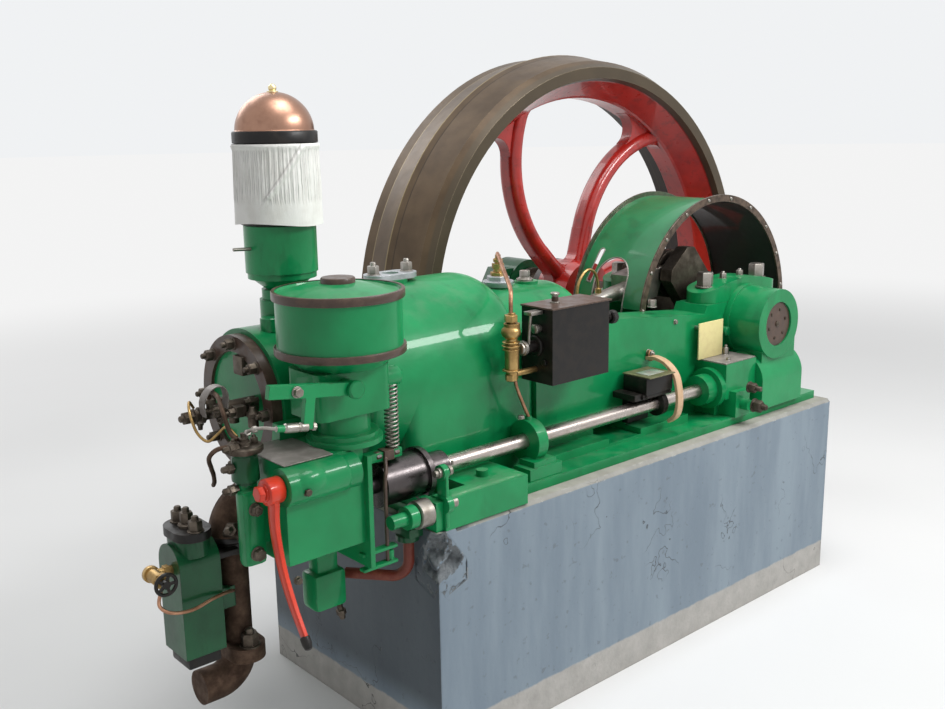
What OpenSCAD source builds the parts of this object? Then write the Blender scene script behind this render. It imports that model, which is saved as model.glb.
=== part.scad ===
// Stationary oil engine with one horizontal cylinder, an open crank, a side
// shaft and one heavy flywheel, on its concrete plinth. Millimetres.
// X runs along the cylinder and ends at the crank, Y crosses the engine toward
// the flywheel, Z is up. The origin is on the floor, under the crankshaft and
// on the cylinder's centre line.

/* [Foundation] */
// Length of the concrete plinth
plinth_l = 1684; // [1620:1:1720]
// How far the plinth runs past the crankshaft
plinth_tail = 259; // [245:1:270]
// Plinth edge on the side-shaft side, from the centre line
plinth_near = 400; // [390:1:430]
// Plinth edge on the flywheel side, from the centre line
plinth_far = 340; // [325:1:350]
// Height of the plinth above the floor
plinth_h = 590; // [585:1:700]
// Bevel along the plinth's top edges
plinth_bevel = 9; // [4:1:15]
// Depth of the broken corner of the plinth
chip = 15; // [0:1:18]
// Length of the pier under the outboard bearing
pier_l = 460; // [420:5:600]
// Thickness of the outboard pier
pier_w = 210; // [180:5:260]

/* [Bed] */
// Crankshaft centre above the plinth
crank_h = 282; // [275:1:300]
// Thickness of the bed's foot plate
foot_t = 25; // [18:1:32]
// Foot edge on the side-shaft side, from the centre line
foot_near = 355; // [345:1:370]
// Foot edge on the flywheel side, from the centre line
foot_far = 315; // [290:1:322]
// Outside of the bed's side walls, from the centre line
wall_out = 230; // [222:1:238]
// Half the width of the crank pit
pit_half = 112; // [108:1:116]
// Height of the bearing jaws above the crankshaft centre
jaw_h = 68; // [64:1:75]
// Height of the bearing caps above the jaws
cap_h = 66; // [50:1:80]
// Half the length of a bearing cap
cap_half = 195; // [170:1:215]

/* [Crank and flywheel] */
// Radius of the crankshaft in its bearings
shaft_r = 58; // [50:1:60]
// Running clearance of the plain bearings, on the radius
run_gap = 0.06; // [0.04:0.01:0.1]
// Crank throw, half the piston's stroke
throw = 185; // [175:1:188]
// Radius of the crank pin
pin_r = 45; // [40:1:50]
// Radius of the big-end bearing block
big_end_r = 78; // [70:1:80]
// Half the width of the big-end block
big_end_half = 32; // [26:1:36]
// Half the width of a crank web
web_r = 81; // [76:1:84]
// Thickness of a crank web
web_t = 44; // [36:1:46]
// Angle of the crank pin at rest, from the crank end toward the top
crank_angle = 131; // [120:1:140]
// Radius of the flywheel at its ridge
wheel_r = 858; // [820:1:862]
// How far the rim's bearing-side edge lies inside its ridge
edge_drop = 49; // [28:1:78]
// Thickness of the rim, from its ridge to its inside
rim_t = 113; // [98:1:138]
// Depth of the ring inside the rim, where the spokes end
ring_depth = 37; // [29:1:45]
// Width of the rim
rim_w = 311; // [280:1:320]
// Rim face on the bearing side, from the centre line
rim_y = 378; // [375:1:395]
// Radius of the flywheel's hub
hub_r = 122; // [110:1:140]
// Length of the hub
hub_l = 172; // [160:1:190]
// Number of spokes
spokes = 6; // [5:1:7]
// Width of a spoke along the shaft
spoke_w = 84; // [70:1:100]
// Thickness of a spoke
spoke_t = 56; // [46:1:64]
// Angle of the first spoke above the level at rest
spoke_a = 15; // [0:1:59]

/* [Guard] */
// Outer radius of the crank guard's flanges
guard_r = 390; // [380:1:395]
// Depth of the guard's flanges
guard_flange = 22; // [18:1:28]
// Thickness of the guard's sheet
guard_t = 4; // [3:0.5:6]
// Guard's edge on the side-shaft side, from the centre line
guard_half = 122; // [118:1:126]
// Guard's edge on the flywheel side, from the centre line
guard_far = 162; // [126:1:175]

/* [Cylinder] */
// Bore of the cylinder, as a radius
bore_r = 110; // [104:1:116]
// Radius of the water jacket
jacket_r = 235; // [228:1:245]
// Crank end of the water jacket, from the crankshaft
jacket_x = 940; // [925:1:960]
// Length of the water jacket
jacket_l = 550; // [520:1:570]
// Radius of the guide barrel between jacket and crank
guide_r = 178; // [165:1:185]
// Length of the guide barrel
guide_l = 310; // [290:1:330]
// Radius of the cylinder head
head_r = 172; // [160:1:180]
// Length of the cylinder head
head_l = 176; // [160:1:190]
// Radius of the ring on the head's face
ring_r = 160; // [150:1:166]
// Radius of the connecting rod's shank
rod_r = 23; // [20:1:26]
// Length of the connecting rod between its pins
rod_l = 897; // [880:1:905]

/* [Side shaft] */
// Side shaft from the centre line
side_y = 285; // [280:1:292]
// Side shaft above the plinth
side_h = 111; // [106:1:118]
// Radius of the side shaft
side_r = 20; // [16:1:23]
// Radius of the cam sleeve
cam_r = 54; // [46:1:57]
// Radius of the skew-gear case round the crankshaft
case_r = 109; // [100:1:114]
// Face of the skew-gear case from the centre line
case_y = 357; // [350:1:366]

/* [Air intake] */
// Centre of the intake stack from the crankshaft
intake_x = 1551; // [1540:1:1562]
// Radius of the intake pot
pot_r = 84; // [76:1:90]
// Height of the intake pot
pot_h = 118; // [100:1:140]
// Radius of the filter cloth
cloth_r = 102; // [96:1:108]
// Height of the filter cloth
cloth_h = 184; // [170:1:200]
// Radius of the intake's dome
dome_r = 90; // [82:1:96]

/* [Governor] */
// Governor drum from the crankshaft
gov_x = 1588; // [1580:1:1596]
// Radius of the governor drum
drum_r = 141; // [130:1:146]
// Height of the governor drum
drum_h = 135; // [120:1:150]
// Height of the control box below the governor
box_h = 218; // [200:1:225]
// Length of the control box
box_l = 195; // [185:1:205]
// Width of the control box
box_w = 130; // [115:1:136]

/* [Levers and pipes] */
// Length of the hand lever
lever_l = 328; // [300:1:350]
// Lean of the hand lever at rest, away from the engine
lever_lean = 21.5; // [18:0.5:25]
// Radius of the exhaust pipe
exhaust_r = 50; // [44:1:54]
// Radius of the exhaust pipe's lower length
exhaust_low = 36; // [32:1:42]
// How far the exhaust pipe's centre stands in front of the head's ring
exhaust_off = 65; // [60:1:73]
// Rise of the governor's rocker arm toward its free end
rocker_tilt = 8; // [0:0.5:10]
// Radius of the handwheel
handwheel_r = 27; // [22:1:32]
// Length of the lubricator box
lub_l = 211; // [190:1:225]
// Height of the lubricator box
lub_h = 193; // [170:1:205]
// Depth of the lubricator box
lub_w = 110; // [95:1:120]

/* [Hidden] */
$fn = 96;
eps = 0.01;
seat = 0.2;
crank_z = plinth_h + crank_h;
side_z = plinth_h + side_h;
foot_z = plinth_h + foot_t;
jaw_z = crank_z + jaw_h;
cap_z = jaw_z + cap_h;
plinth_x = plinth_tail - plinth_l;
bed_end = 235;
bed_head = -jacket_x;
head_x = -jacket_x - jacket_l;
ring_t = 26;
ring_x = head_x - head_l - ring_t;
exhaust_x = exhaust_off - ring_x;
wheel_edge_r = wheel_r - edge_drop;
rim_in = wheel_r - rim_t;
ring_in = rim_in - ring_depth;
pin_x = throw * cos(crank_angle);
pin_z = crank_z + throw * sin(crank_angle);
wrist_x = pin_x - sqrt(rod_l * rod_l - pow(pin_z - crank_z, 2));
rod_slope = atan2(pin_z - crank_z, pin_x - wrist_x);
web_in = big_end_half + 25;
gear_x = -95;
gear_l = 221;
gear_r = 85;
side_l = jacket_l - 120;
collar_y = 722;
bearing_y = 755;
bearing_l = 125;
shaft_tail = 905;
pier_y = 712;
drum_z = plinth_h + 433;
box_z = plinth_h + 17;
box_x = -1590;
box_y = -200;
box_top = box_z + box_h;
lub_x = -998;
lub_y = -jacket_r - 1;
lub_z = plinth_h + 260;
intake_z = crank_z + head_r + 59;
pot_z = intake_z + 49;
cloth_z = pot_z + pot_h + 7;
band_z = cloth_z + cloth_h;
band_h = 26;
lever_x = box_x - box_l - 21;
lever_y = -359;
lever_z = plinth_h + 193;
spring_x = -1470;
spring_y = -300;
exhaust_y = -50;
flange_z = 291;
step_z = 583;
box_in = -8;
valve_x = -exhaust_x - 201;
valve_y = -120;
drain_turn = -52;
valve_z = 548;
lip = 0.8;
sheet_r = guard_r - guard_flange + 4;
angle_t = 6;

// A cylinder along +X, from x
module xcyl(r, l, x = 0) {
    translate([x, 0, 0]) rotate([0, 90, 0]) cylinder(r = r, h = l);
}

// A cylinder along +Y, from y
module ycyl(r, l, y = 0) {
    translate([0, y, 0]) rotate([-90, 0, 0]) cylinder(r = r, h = l);
}

// A revolved outline of [radius, distance] points, standing along +X
module xturn() {
    rotate([0, 90, 0]) rotate_extrude() children();
}

// A revolved outline of [radius, distance] points, standing along +Y
module yturn() {
    rotate([-90, 0, 0]) rotate_extrude() children();
}

// An outline in X and Z, pushed from y0 to y1
module xz_plate(y0, y1) {
    translate([0, y1, 0]) rotate([90, 0, 0]) linear_extrude(y1 - y0) children();
}

// A box between two corners
module block(a, b) {
    translate(a) cube(b - a);
}

// A rectangle with round corners, centred
module round_rect(l, w, r) {
    square([l - 2 * r, w], center = true);
    square([l, w - 2 * r], center = true);
    for (sx = [-1, 1], sy = [-1, 1])
        translate([sx * (l / 2 - r), sy * (w / 2 - r)]) circle(r = r);
}

// A round-ended bar, centred
module slot_shape(l, w) {
    square([l - w, w], center = true);
    for (s = [-1, 1]) translate([s * (l - w) / 2, 0]) circle(d = w);
}

module at_crank() {
    translate([0, 0, crank_z]) children();
}

module at_side_shaft() {
    translate([0, -side_y, side_z]) children();
}

module plinth() color("lightslategray") difference() {
    translate([plinth_x, 0, 0]) rotate([90, 0, 90]) linear_extrude(plinth_l)
        polygon([[-plinth_near, 0], [plinth_far, 0], [plinth_far, plinth_h - plinth_bevel],
            [plinth_far - plinth_bevel, plinth_h], [plinth_bevel - plinth_near, plinth_h],
            [-plinth_near, plinth_h - plinth_bevel]]);
    // broken corner under the cam bracket
    translate([plinth_x, -plinth_near, plinth_h]) rotate([0, 0, 45]) rotate([0, -27, 0])
        translate([-60, -60, -150]) cube([60 + chip, 120, 300]);
}

module outboard_pier() color("lightslategray") {
    block([-pier_l / 2, pier_y, 0], [pier_l / 2, pier_y + pier_w, plinth_h]);
}

// The side wall's outline: foot, bearing jaw and the slope toward the cylinder
module wall_outline() {
    difference() {
        polygon([[bed_head, foot_z], [bed_end, foot_z], [bed_end, jaw_z], [-cap_half - 5, jaw_z],
            [-cap_half - 18, jaw_z - 25], [bed_head + guide_l, jaw_z + 15], [bed_head, jaw_z + 15]]);
        translate([-95, crank_z]) square([190, 200]);
    }
}

module bed() color("seagreen") difference() {
    union() {
        difference() {
            block([-1400, -foot_near, plinth_h], [bed_end, foot_far, foot_z]);
            block([-300, -pit_half, plinth_h - 1], [bed_end + 1, pit_half, foot_z + 1]);
        }
        for (y = [-wall_out, pit_half]) xz_plate(y, y + wall_out - pit_half) wall_outline();
        guide_barrel();
        crank_tray();
        // step of the foot along the side wall
        block([bed_head, -wall_out - 60, foot_z], [-360, -wall_out, foot_z + 24]);
    }
    at_crank() ycyl(shaft_r + run_gap, 2 * wall_out + 20, -wall_out - 10);
    at_crank() xcyl(bore_r, guide_l + 20, bed_head - 10);
    // inspection opening low in the side wall
    block([-715, -wall_out - 61, foot_z + 8], [-580, -wall_out + 70, foot_z + 62]);
}

// The open guide barrel that joins the jacket to the crank pit
module guide_barrel() {
    shoulder = 60;
    intersection() {
        at_crank() xturn() translate([0, bed_head]) {
            square([guide_r, guide_l - shoulder]);
            square([guide_r - shoulder, guide_l]);
            translate([guide_r - shoulder, guide_l - shoulder]) circle(r = shoulder);
        }
        block([bed_head, -guide_r, foot_z], [0, guide_r, cap_z + 200]);
    }
    block([bed_head, -guide_r, foot_z], [bed_head + guide_l, guide_r, crank_z]);
    for (x = [-861, -752])
        translate([x, 0, crank_z + guide_r - 20]) cylinder(r = 34, h = 26);
}

// The curved trough that closes the crank pit at the engine's end
module crank_tray() {
    tray_r = 277;
    tray_t = 14;
    intersection() {
        at_crank() yturn_ring(tray_r, tray_r + tray_t, pit_half + 12);
        block([123, -pit_half - 12, plinth_h], [400, pit_half + 12, crank_z]);
        union() {
            block([0, -pit_half - 12, 0], [bed_end, pit_half + 12, crank_z]);
            block([bed_end, -pit_half - 12, 0], [400, pit_half + 12, crank_z]);
        }
    }
    for (y = [-pit_half - 12, pit_half]) intersection() {
        translate([0, y, crank_z]) ycyl(tray_r + tray_t, 12);
        block([bed_end, -400, plinth_h], [400, 400, crank_z]);
    }
    block([tray_r, -pit_half - 12, crank_z - 10], [guard_r, guard_far, crank_z]);
}

module yturn_ring(r_in, r_out, half) {
    difference() {
        ycyl(r_out, 2 * half, -half);
        ycyl(r_in, 2 * half + 2, -half - 1);
    }
}

module side_box() color("seagreen") {
    x1 = -1139;
    top = plinth_h + 75;
    block([-1400, -plinth_near, plinth_h], [x1, -foot_near, top]);
    block([-1400, -foot_near, foot_z], [x1, -side_y - cam_r - 13, top]);
    block([-1300, -side_y - cam_r - 13, foot_z], [x1, -jacket_r - seat, top]);
    translate([-1225, -330, top]) cylinder(r = 15, h = 16);
}

module cylinder_jacket() color("mediumseagreen") difference() {
    union() {
        at_crank() xturn() jacket_outline();
        translate([bed_head - side_l / 2, 0, foot_z])
            linear_extrude(crank_z - foot_z) round_rect(side_l, 2 * jacket_r, 40);
        translate([-1236, 0, crank_z + jacket_r - 30]) cylinder(r = 44, h = 38);
    }
    at_crank() xcyl(bore_r, jacket_l + 2, head_x - 1);
}

// Half section of the jacket: a wide shoulder at the crank end
module jacket_outline() {
    big = 90;
    small = 40;
    translate([0, head_x]) {
        translate([0, small]) square([jacket_r, jacket_l - small - big]);
        square([jacket_r - big, jacket_l]);
        square([jacket_r - small, jacket_l - big]);
        translate([jacket_r - small, small]) circle(r = small);
        translate([jacket_r - big, jacket_l - big]) circle(r = big);
    }
}

module cylinder_head() color("seagreen") difference() {
    union() {
        at_crank() {
            xcyl(head_r, head_l, head_x - head_l);
            xcyl(ring_r - 38, ring_t - 8, ring_x + 8);
            xcyl(head_r + 14, 24, head_x - 24);
        }
        // seat of the intake stack
        translate([-intake_x, 0, crank_z + head_r - 60]) cylinder(r = 56, h = 119);
    }
    at_crank() xcyl(bore_r, 40, head_x - 40 + eps);
}

module head_ring() color("saddlebrown") at_crank() difference() {
    xcyl(ring_r, ring_t, ring_x);
    xcyl(ring_r - 38, ring_t + 2, ring_x - 1);
}

// One bearing cap: a crowned bar with round ends and a tongue down to the shaft
module bearing_cap() {
    w = wall_out - pit_half - 8;
    crown = (cap_half * cap_half + cap_h * cap_h / 4) / cap_h;
    difference() {
        union() {
            intersection() {
                translate([0, w / 2, jaw_z]) linear_extrude(cap_h) slot_shape(2 * cap_half, w);
                translate([0, 0, jaw_z + cap_h - crown]) ycyl(crown, w);
            }
            translate([-95 + seat, 0, crank_z]) cube([190 - 2 * seat, w, jaw_h + 1]);
        }
        at_crank() ycyl(shaft_r + run_gap, w + 2, -1);
    }
}

module bearing_caps() color("seagreen") {
    translate([0, -wall_out, 0]) bearing_cap();
    translate([0, pit_half + 8, 0]) bearing_cap();
}

module outboard_bearing() color("darkgreen") difference() {
    union() {
        block([-205, bearing_y, plinth_h], [205, bearing_y + bearing_l, plinth_h + 32]);
        xz_plate(bearing_y + 10, bearing_y + bearing_l - 10)
            polygon([[-175, plinth_h + 30], [175, plinth_h + 30], [150, crank_z + 10],
                [110, crank_z + 78], [-110, crank_z + 78], [-150, crank_z + 10]]);
        translate([0, bearing_y, crank_z]) ycyl(105, bearing_l);
    }
    at_crank() ycyl(shaft_r + run_gap, bearing_l + 2, bearing_y - 1);
}

module crank_guard() color("mediumseagreen") difference() {
    union() {
        translate([0, (guard_far - guard_half) / 2, crank_z])
            yturn_ring(sheet_r, sheet_r + guard_t, (guard_half + guard_far) / 2);
        for (y = [-guard_half, guard_far - angle_t]) translate([0, y, crank_z]) difference() {
            ycyl(guard_r, angle_t);
            ycyl(guard_r - guard_flange, angle_t + 2, -1);
        }
    }
    guard_cut();
    // slot over the arch's far side
    translate([-guard_r, 112, crank_z + 176]) rotate([0, 90, 0]) rotate([0, 0, 8])
        linear_extrude(200) slot_shape(104, 20);
}

// What the guard leaves open: everything below its seats, and the rod's arch
module guard_cut() {
    far = guard_r + 50;
    xz_plate(-200, 200) polygon([[-far, 0], [far, 0], [far, crank_z], [0, crank_z],
        [-cap_half - 18, jaw_z - 25], [bed_head + guide_l, jaw_z + 15]]);
    translate([-guard_r - 20, 30, crank_z + 100]) rotate([0, 90, 0])
        linear_extrude(150) slot_shape(210, 130);
}

module gear_case() color("seagreen") difference() {
    union() {
        at_crank() ycyl(case_r, case_y - wall_out, -case_y);
        at_crank() ycyl(case_r + 6, 18, -wall_out - 18);
        // swell over the gears of the side shaft, down to the foot plate
        at_side_shaft() xcyl(gear_r, gear_l, gear_x);
        block([gear_x, -side_y - gear_r, foot_z], [gear_x + gear_l, -wall_out, side_z]);
        block([gear_x + 20, -side_y - gear_r + 20, side_z], [gear_x + gear_l - 20, -wall_out, crank_z]);
    }
    at_crank() ycyl(case_r - 40, 12 + eps, -case_y - eps);
    at_crank() ycyl(shaft_r + 4, case_y - wall_out - 35 + eps, -case_y + 35);
    at_side_shaft() xcyl(side_r + run_gap, 60, gear_x - eps);
    block([gear_x - 1, -wall_out, foot_z], [gear_x + gear_l + 1, 0, crank_z]);
}

module gear_case_cover() color("sienna") at_crank() ycyl(case_r - 40, 6, -case_y + 6);

// Lower half of the skew-gear drive, with the side shaft's end bearing
module shaft_gear_box() color("seagreen") difference() {
    union() {
        block([-250, -side_y - 58, side_z - 30], [gear_x, -wall_out, side_z + 78]);
        at_side_shaft() xcyl(62, 22, -272);
        at_side_shaft() xcyl(46, 44, -316);
        block([-229, -side_y - 82, foot_z], [-158, -side_y - 20, side_z - 6]);
        block([-250, -side_y - 20, foot_z], [gear_x, -wall_out, side_z - 30]);
        // drain plug
        translate([-193, 0, side_z - 48]) ycyl(17, 26, -side_y - 108);
    }
    at_side_shaft() xcyl(side_r + run_gap, 400, -380);
    block([-300, -wall_out, foot_z], [gear_x, 0, crank_z]);
}

module shaft_bearing() color("seagreen") difference() {
    union() {
        at_side_shaft() xcyl(56, 34, -1040);
        block([-1062, -side_y - 60, foot_z + 32], [-984, -wall_out - 60, side_z - 40]);
        block([-1080, -side_y - 64, foot_z], [-966, -wall_out - 60, foot_z + 32]);
        translate([-1023, -side_y, side_z + 50]) cylinder(r = 9, h = 14);
    }
    at_side_shaft() xcyl(side_r + run_gap, 60, -1050);
    block([-1100, -jacket_r - seat, 0], [-900, 0, crank_z]);
}

module lubricator() color("#2b2321") {
    block([lub_x, lub_y - lub_w, lub_z], [lub_x + lub_l, lub_y, lub_z + lub_h]);
    block([bed_head + 5, lub_y, lub_z + 10], [lub_x + lub_l - 5, -wall_out, lub_z + 70]);
    translate([0, -side_y, lub_z + 95]) xcyl(15, 42, lub_x - 42);
    translate([0, -side_y - 20, lub_z + 145]) xcyl(9, 44, lub_x + lub_l);
}

module lubricator_lid() color("rosybrown") {
    block([lub_x - 5, lub_y - lub_w - 5, lub_z + lub_h],
        [lub_x + lub_l + 5, lub_y, lub_z + lub_h + 4]);
    translate([lub_x + 70, lub_y - 50, lub_z + lub_h + 4]) cylinder(r = 9, h = 16);
}

// Brass sight pump beside the lubricator, with the pipe down to the shaft bearing
module sight_pump() color("darkgoldenrod") {
    x = -1080;
    translate([x, -side_y, lub_z + 22]) {
        cylinder(r = 15, h = 20);
        translate([0, 0, 20]) cylinder(r = 18, h = 70);
        translate([0, 0, 90]) cylinder(r = 14, h = 22);
        translate([0, 0, 112]) cylinder(r = 20, h = 30);
        translate([0, 0, 142]) cylinder(r = 9, h = 26);
    }
    translate([0, -side_y, lub_z + 34]) xcyl(8, lub_x - x - 12, x + 12);
}

module revolution_counter() color("#242422") difference() {
    union() {
        block([-607, -side_y - 45, side_z + 46], [-491, -side_y + 40, side_z + 96]);
        at_side_shaft() xcyl(58, 34, -524);
        block([-590, -side_y, side_z - 20], [-490, -wall_out, side_z + 50]);
    }
    at_side_shaft() xcyl(side_r + 5, 200, -620);
    block([-620, -wall_out, foot_z], [-480, 0, crank_z]);
}

// Bent strip from the bed's wall round the counter and under the side shaft
module counter_strap() color("burlywood") {
    x = -489.8;
    w = 20;
    r = 90;
    mid_y = -262;
    translate([x, mid_y, side_z + 30]) difference() {
        xcyl(r, w);
        xcyl(r - 4, w + 2, -1);
        block([-1, 0, -r - 1], [w + 1, r + 1, r + 1]);
    }
    for (z = [-r, r - 4])
        block([x, mid_y, side_z + 30 + z], [x + w, -wall_out, side_z + 34 + z]);
    block([x, -wall_out - 4, side_z + r], [x + w, -wall_out, side_z + 30 + r]);
    translate([x + w / 2, 0, side_z + 12 + r]) ycyl(9, 14, -wall_out - 14);
}

module water_flange() color("lightgray") translate([-1236, 0, crank_z + jacket_r + 8]) {
    linear_extrude(14) difference() {
        slot_shape(150, 78);
        circle(r = 22);
    }
}

module cylinder_oiler() color("darkkhaki") translate([-861, 0, crank_z + guide_r + 6]) {
    cylinder(r = 30, h = 10);
    translate([0, 0, 10]) cylinder(r = 22, h = 14, $fn = 6);
    translate([0, 0, 24]) cylinder(r = 13, h = 26);
    translate([0, 0, 50]) cylinder(r = 18, h = 10, $fn = 6);
    translate([0, 0, 60]) cylinder(r = 8, h = 24);
}

// Neck, cup and lip of the intake, one casting
module air_pot() color("seagreen") translate([-intake_x, 0, intake_z]) {
    cylinder(r = 50, h = 24);
    translate([0, 0, 24]) cylinder(r1 = 40, r2 = pot_r - 12, h = 26);
    translate([0, 0, 50]) cylinder(r = pot_r - 4, h = 14);
    translate([0, 0, 64]) cylinder(r = pot_r, h = pot_h - 8);
}

module filter_cloth() color("whitesmoke") translate([-intake_x, 0, cloth_z])
    cylinder(r1 = cloth_r, r2 = cloth_r - 5, h = cloth_h);

// Copper dome with its band and brass knob
module air_dome() color("peru") translate([-intake_x, 0, band_z]) {
    cylinder(r = dome_r + 6, h = band_h);
    rotate_extrude() intersection() {
        translate([0, band_h]) circle(r = dome_r);
        translate([0, band_h]) square([dome_r, dome_r]);
    }
    translate([0, 0, band_h + dome_r - 2]) cylinder(r = 11, h = 20);
}

module governor_drum() color("seagreen") translate([-gov_x, -side_y, drum_z]) {
    rotate_extrude() polygon([[0, 0], [drum_r, 0], [drum_r, 16], [drum_r - 5, 16],
        [drum_r - 5, drum_h - 16], [drum_r, drum_h - 16], [drum_r, drum_h], [drum_r - 6, drum_h + 4],
        [38, drum_h + 32], [36, drum_h + 44], [0, drum_h + 44]]);
}

// Casting between the control box and the drum
module governor_body() color("seagreen") {
    translate([-gov_x, -side_y, box_top]) {
        cylinder(r = 84, h = 12);
        translate([0, 0, 12]) cylinder(r = 75, h = 12);
        translate([0, 0, 24]) cylinder(r = 58, h = 44);
    }
    translate([-gov_x - 7, -side_y, box_top + 68]) linear_extrude(102) round_rect(190, 130, 22);
    translate([-gov_x, -side_y, box_top + 170]) cylinder(r1 = 92, r2 = drum_r - 12, h = drum_z - box_top - 170);
    // arm over the spring
    block([-gov_x + 60, spring_y - 16, box_top + 110], [spring_x + 20, spring_y + 16, box_top + 140]);
    // pivot boss of the rocker arm
    translate([-gov_x - 40, -side_y - 65 - 22, box_top + 140]) ycyl(17, 22);
}

// Points of one ring of the spring's wire at turn angle a
function wire_ring(a, r, wire, z) = [for (i = [0:5])
    let (b = i * 60, q = r + wire * cos(b)) [q * cos(a), q * sin(a), z + wire * sin(b)]];

// An open coil spring swept along its helix
module coil_spring(r, wire, h, turns) {
    steps = 16;
    n = turns * steps;
    pts = [for (k = [0:n]) each wire_ring(k * 360 / steps, r, wire, wire + k * (h - 2 * wire) / n)];
    sides = [for (k = [0:n - 1], i = [0:5])
        [k * 6 + i, k * 6 + (i + 1) % 6, (k + 1) * 6 + (i + 1) % 6, (k + 1) * 6 + i]];
    caps = [[for (i = [5:-1:0]) i], [for (i = [0:5]) n * 6 + i]];
    polyhedron(points = pts, faces = concat(sides, caps), convexity = 10);
}

module governor_spring() color("silver") {
    h = box_top + 110 - (box_top - 42) - 0.4;
    translate([spring_x, spring_y, box_top - 42 + 0.2]) coil_spring(15, 2.2, h, 15);
}

// Box that the side shaft drives, with the hand lever's shaft boss
module control_box() color("seagreen") difference() {
    union() {
        block([box_x - box_l, box_y - box_w - 25, box_z], [box_x, box_y, box_top]);
        at_side_shaft() xcyl(78, 14, box_x);
        translate([0, lever_y, lever_z]) xcyl(38, 165, box_x - box_l);
        block([box_x, -side_y - 85, box_z - 60], [box_x + 12, -side_y + 85, box_top - 20]);
        // bracket to the cylinder head
        block([box_x - 110, box_y, crank_z - 60], [box_x - 20, -head_r + 8, crank_z - 10]);
        // bracket under the spring
        block([box_x + 14, spring_y - 12, box_top - 62], [spring_x + 18, spring_y + 12, box_top - 42]);
    }
    at_side_shaft() xcyl(side_r + run_gap, 60, box_x - 20);
    at_crank() xcyl(head_r, 400, ring_x - 50);
    translate([0, lever_y, lever_z]) xcyl(14 + run_gap, 60, box_x - box_l - 1);
}

// Rocker arm of the governor with its hanging link
module rocker_arm() color("mediumseagreen")
    translate([-gov_x - 40, -side_y - 65 - 22 - 18, box_top + 140]) {
        ycyl(17, 18 - seat);
        rotate([0, rocker_tilt, 0]) {
            block([-202, 2, -14], [-10, 16, 14]);
            block([-117, 2, -78], [-94, 14, -14]);
            translate([0, 8, -74]) xcyl(7, 70, -177);
        }
    }

module fuel_pump() color("darkgreen") {
    translate([-1822, -262, plinth_h + 175]) {
        cylinder(r = 30, h = 80);
        translate([0, 0, 80]) linear_extrude(14) slot_shape(84, 52);
        translate([0, 0, 94]) cylinder(r = 12, h = 16, $fn = 6);
    }
    block([-1850, -290, plinth_h + 60], [-1790, -205, plinth_h + 175]);
    block([-1790, -270, plinth_h + 100], [box_x - box_l, -230, plinth_h + 150]);
}

// Fuel injector that stands out of the cylinder head
module injector() color("#4a4440") translate([0, -70, crank_z + 10]) {
    xcyl(20, 90, ring_x + 8 - 90);
    xcyl(13, 60, ring_x + 8 - 150);
    block([ring_x - 60, -40, -12], [ring_x - 36, 40, 12]);
}

// Roller levers below the cam sleeve
module cam_bracket() color("seagreen") {
    block([-1422, -plinth_near + 8, plinth_h], [-1400, -foot_near + 30, plinth_h + 70]);
    translate([0, -plinth_near + 34, plinth_h + 46]) xcyl(16, 110, -1532);
    translate([0, -plinth_near + 34, plinth_h + 46]) xcyl(27, 24, -1490);
}

// Exhaust pipe: off the underside of the head, stepped, down to an elbow under a flange
module exhaust_pipe() color("#5d4a3c") difference() {
    bend = 72;
    elbow = 60;
    run = exhaust_x - bend + head_x - 100;
    top = crank_z - head_r - 45;
    union() {
        translate([-exhaust_x, exhaust_y, 0]) {
            translate([0, 0, flange_z]) cylinder(r = exhaust_low, h = 300);
            translate([0, 0, step_z]) cylinder(r = exhaust_r, h = top - bend - step_z);
            // two-bolt flange over the elbow
            translate([0, 0, flange_z]) linear_extrude(34) slot_shape_y(88, 168);
            translate([-elbow, 0, flange_z]) rotate([-90, 0, 0])
                rotate_extrude(angle = 90) translate([elbow, 0]) circle(r = exhaust_low + 5);
            translate([0, 0, flange_z - elbow]) xcyl(exhaust_low + 5, 44, -elbow - 44);
        }
        translate([bend - exhaust_x, exhaust_y, top - bend]) rotate([90, 0, 180])
            rotate_extrude(angle = 90) translate([bend, 0]) circle(r = exhaust_r);
        translate([0, exhaust_y, top]) xcyl(exhaust_r, run, bend - exhaust_x);
        translate([head_x - 100, exhaust_y, top]) {
            sphere(r = exhaust_r);
            cylinder(r = exhaust_r, h = 60);
        }
    }
    at_crank() xcyl(head_r, head_l, head_x - head_l);
}

module filter_box() color("darkgreen") difference() {
    x0 = -exhaust_x - exhaust_r - 108;
    x1 = x0 + 98;
    union() {
        block([x0, box_in - 104, 342], [x1, box_in, 552]);
        intersection() {
            translate([0, box_in - 52, 552]) xcyl(52, 98, x0);
            block([x0, box_in - 104, 552], [x1, box_in, 604]);
        }
        translate([(x0 + x1) / 2, box_in - 52, 575]) linear_extrude(40) slot_shape_y(78, 108);
        block([x0 + 12, box_in - 92, 316], [x1 - 12, box_in - 12, 342]);
        block([x1, box_in - 75, 420], [-exhaust_x, box_in - 35, 470]);
    }
    translate([-exhaust_x, exhaust_y, 0]) cylinder(r = exhaust_low, h = crank_z);
}

module filter_cap() color("#2a2624") translate([-exhaust_x - exhaust_r - 59, box_in - 52, 615])
    linear_extrude(20) slot_shape_y(86, 126);

// Brass stop valve on the box's end, its spindle toward the front
module stop_valve() color("goldenrod") difference() {
    union() {
        translate([valve_x, 0, valve_z]) ycyl(15, 70, valve_y);
        translate([0, valve_y + 50, valve_z]) xcyl(11, -exhaust_x - exhaust_r - 108 - valve_x, valve_x);
    }
    translate([valve_x, 0, valve_z]) ycyl(6 + run_gap, 40, valve_y - 1);
}

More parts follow.
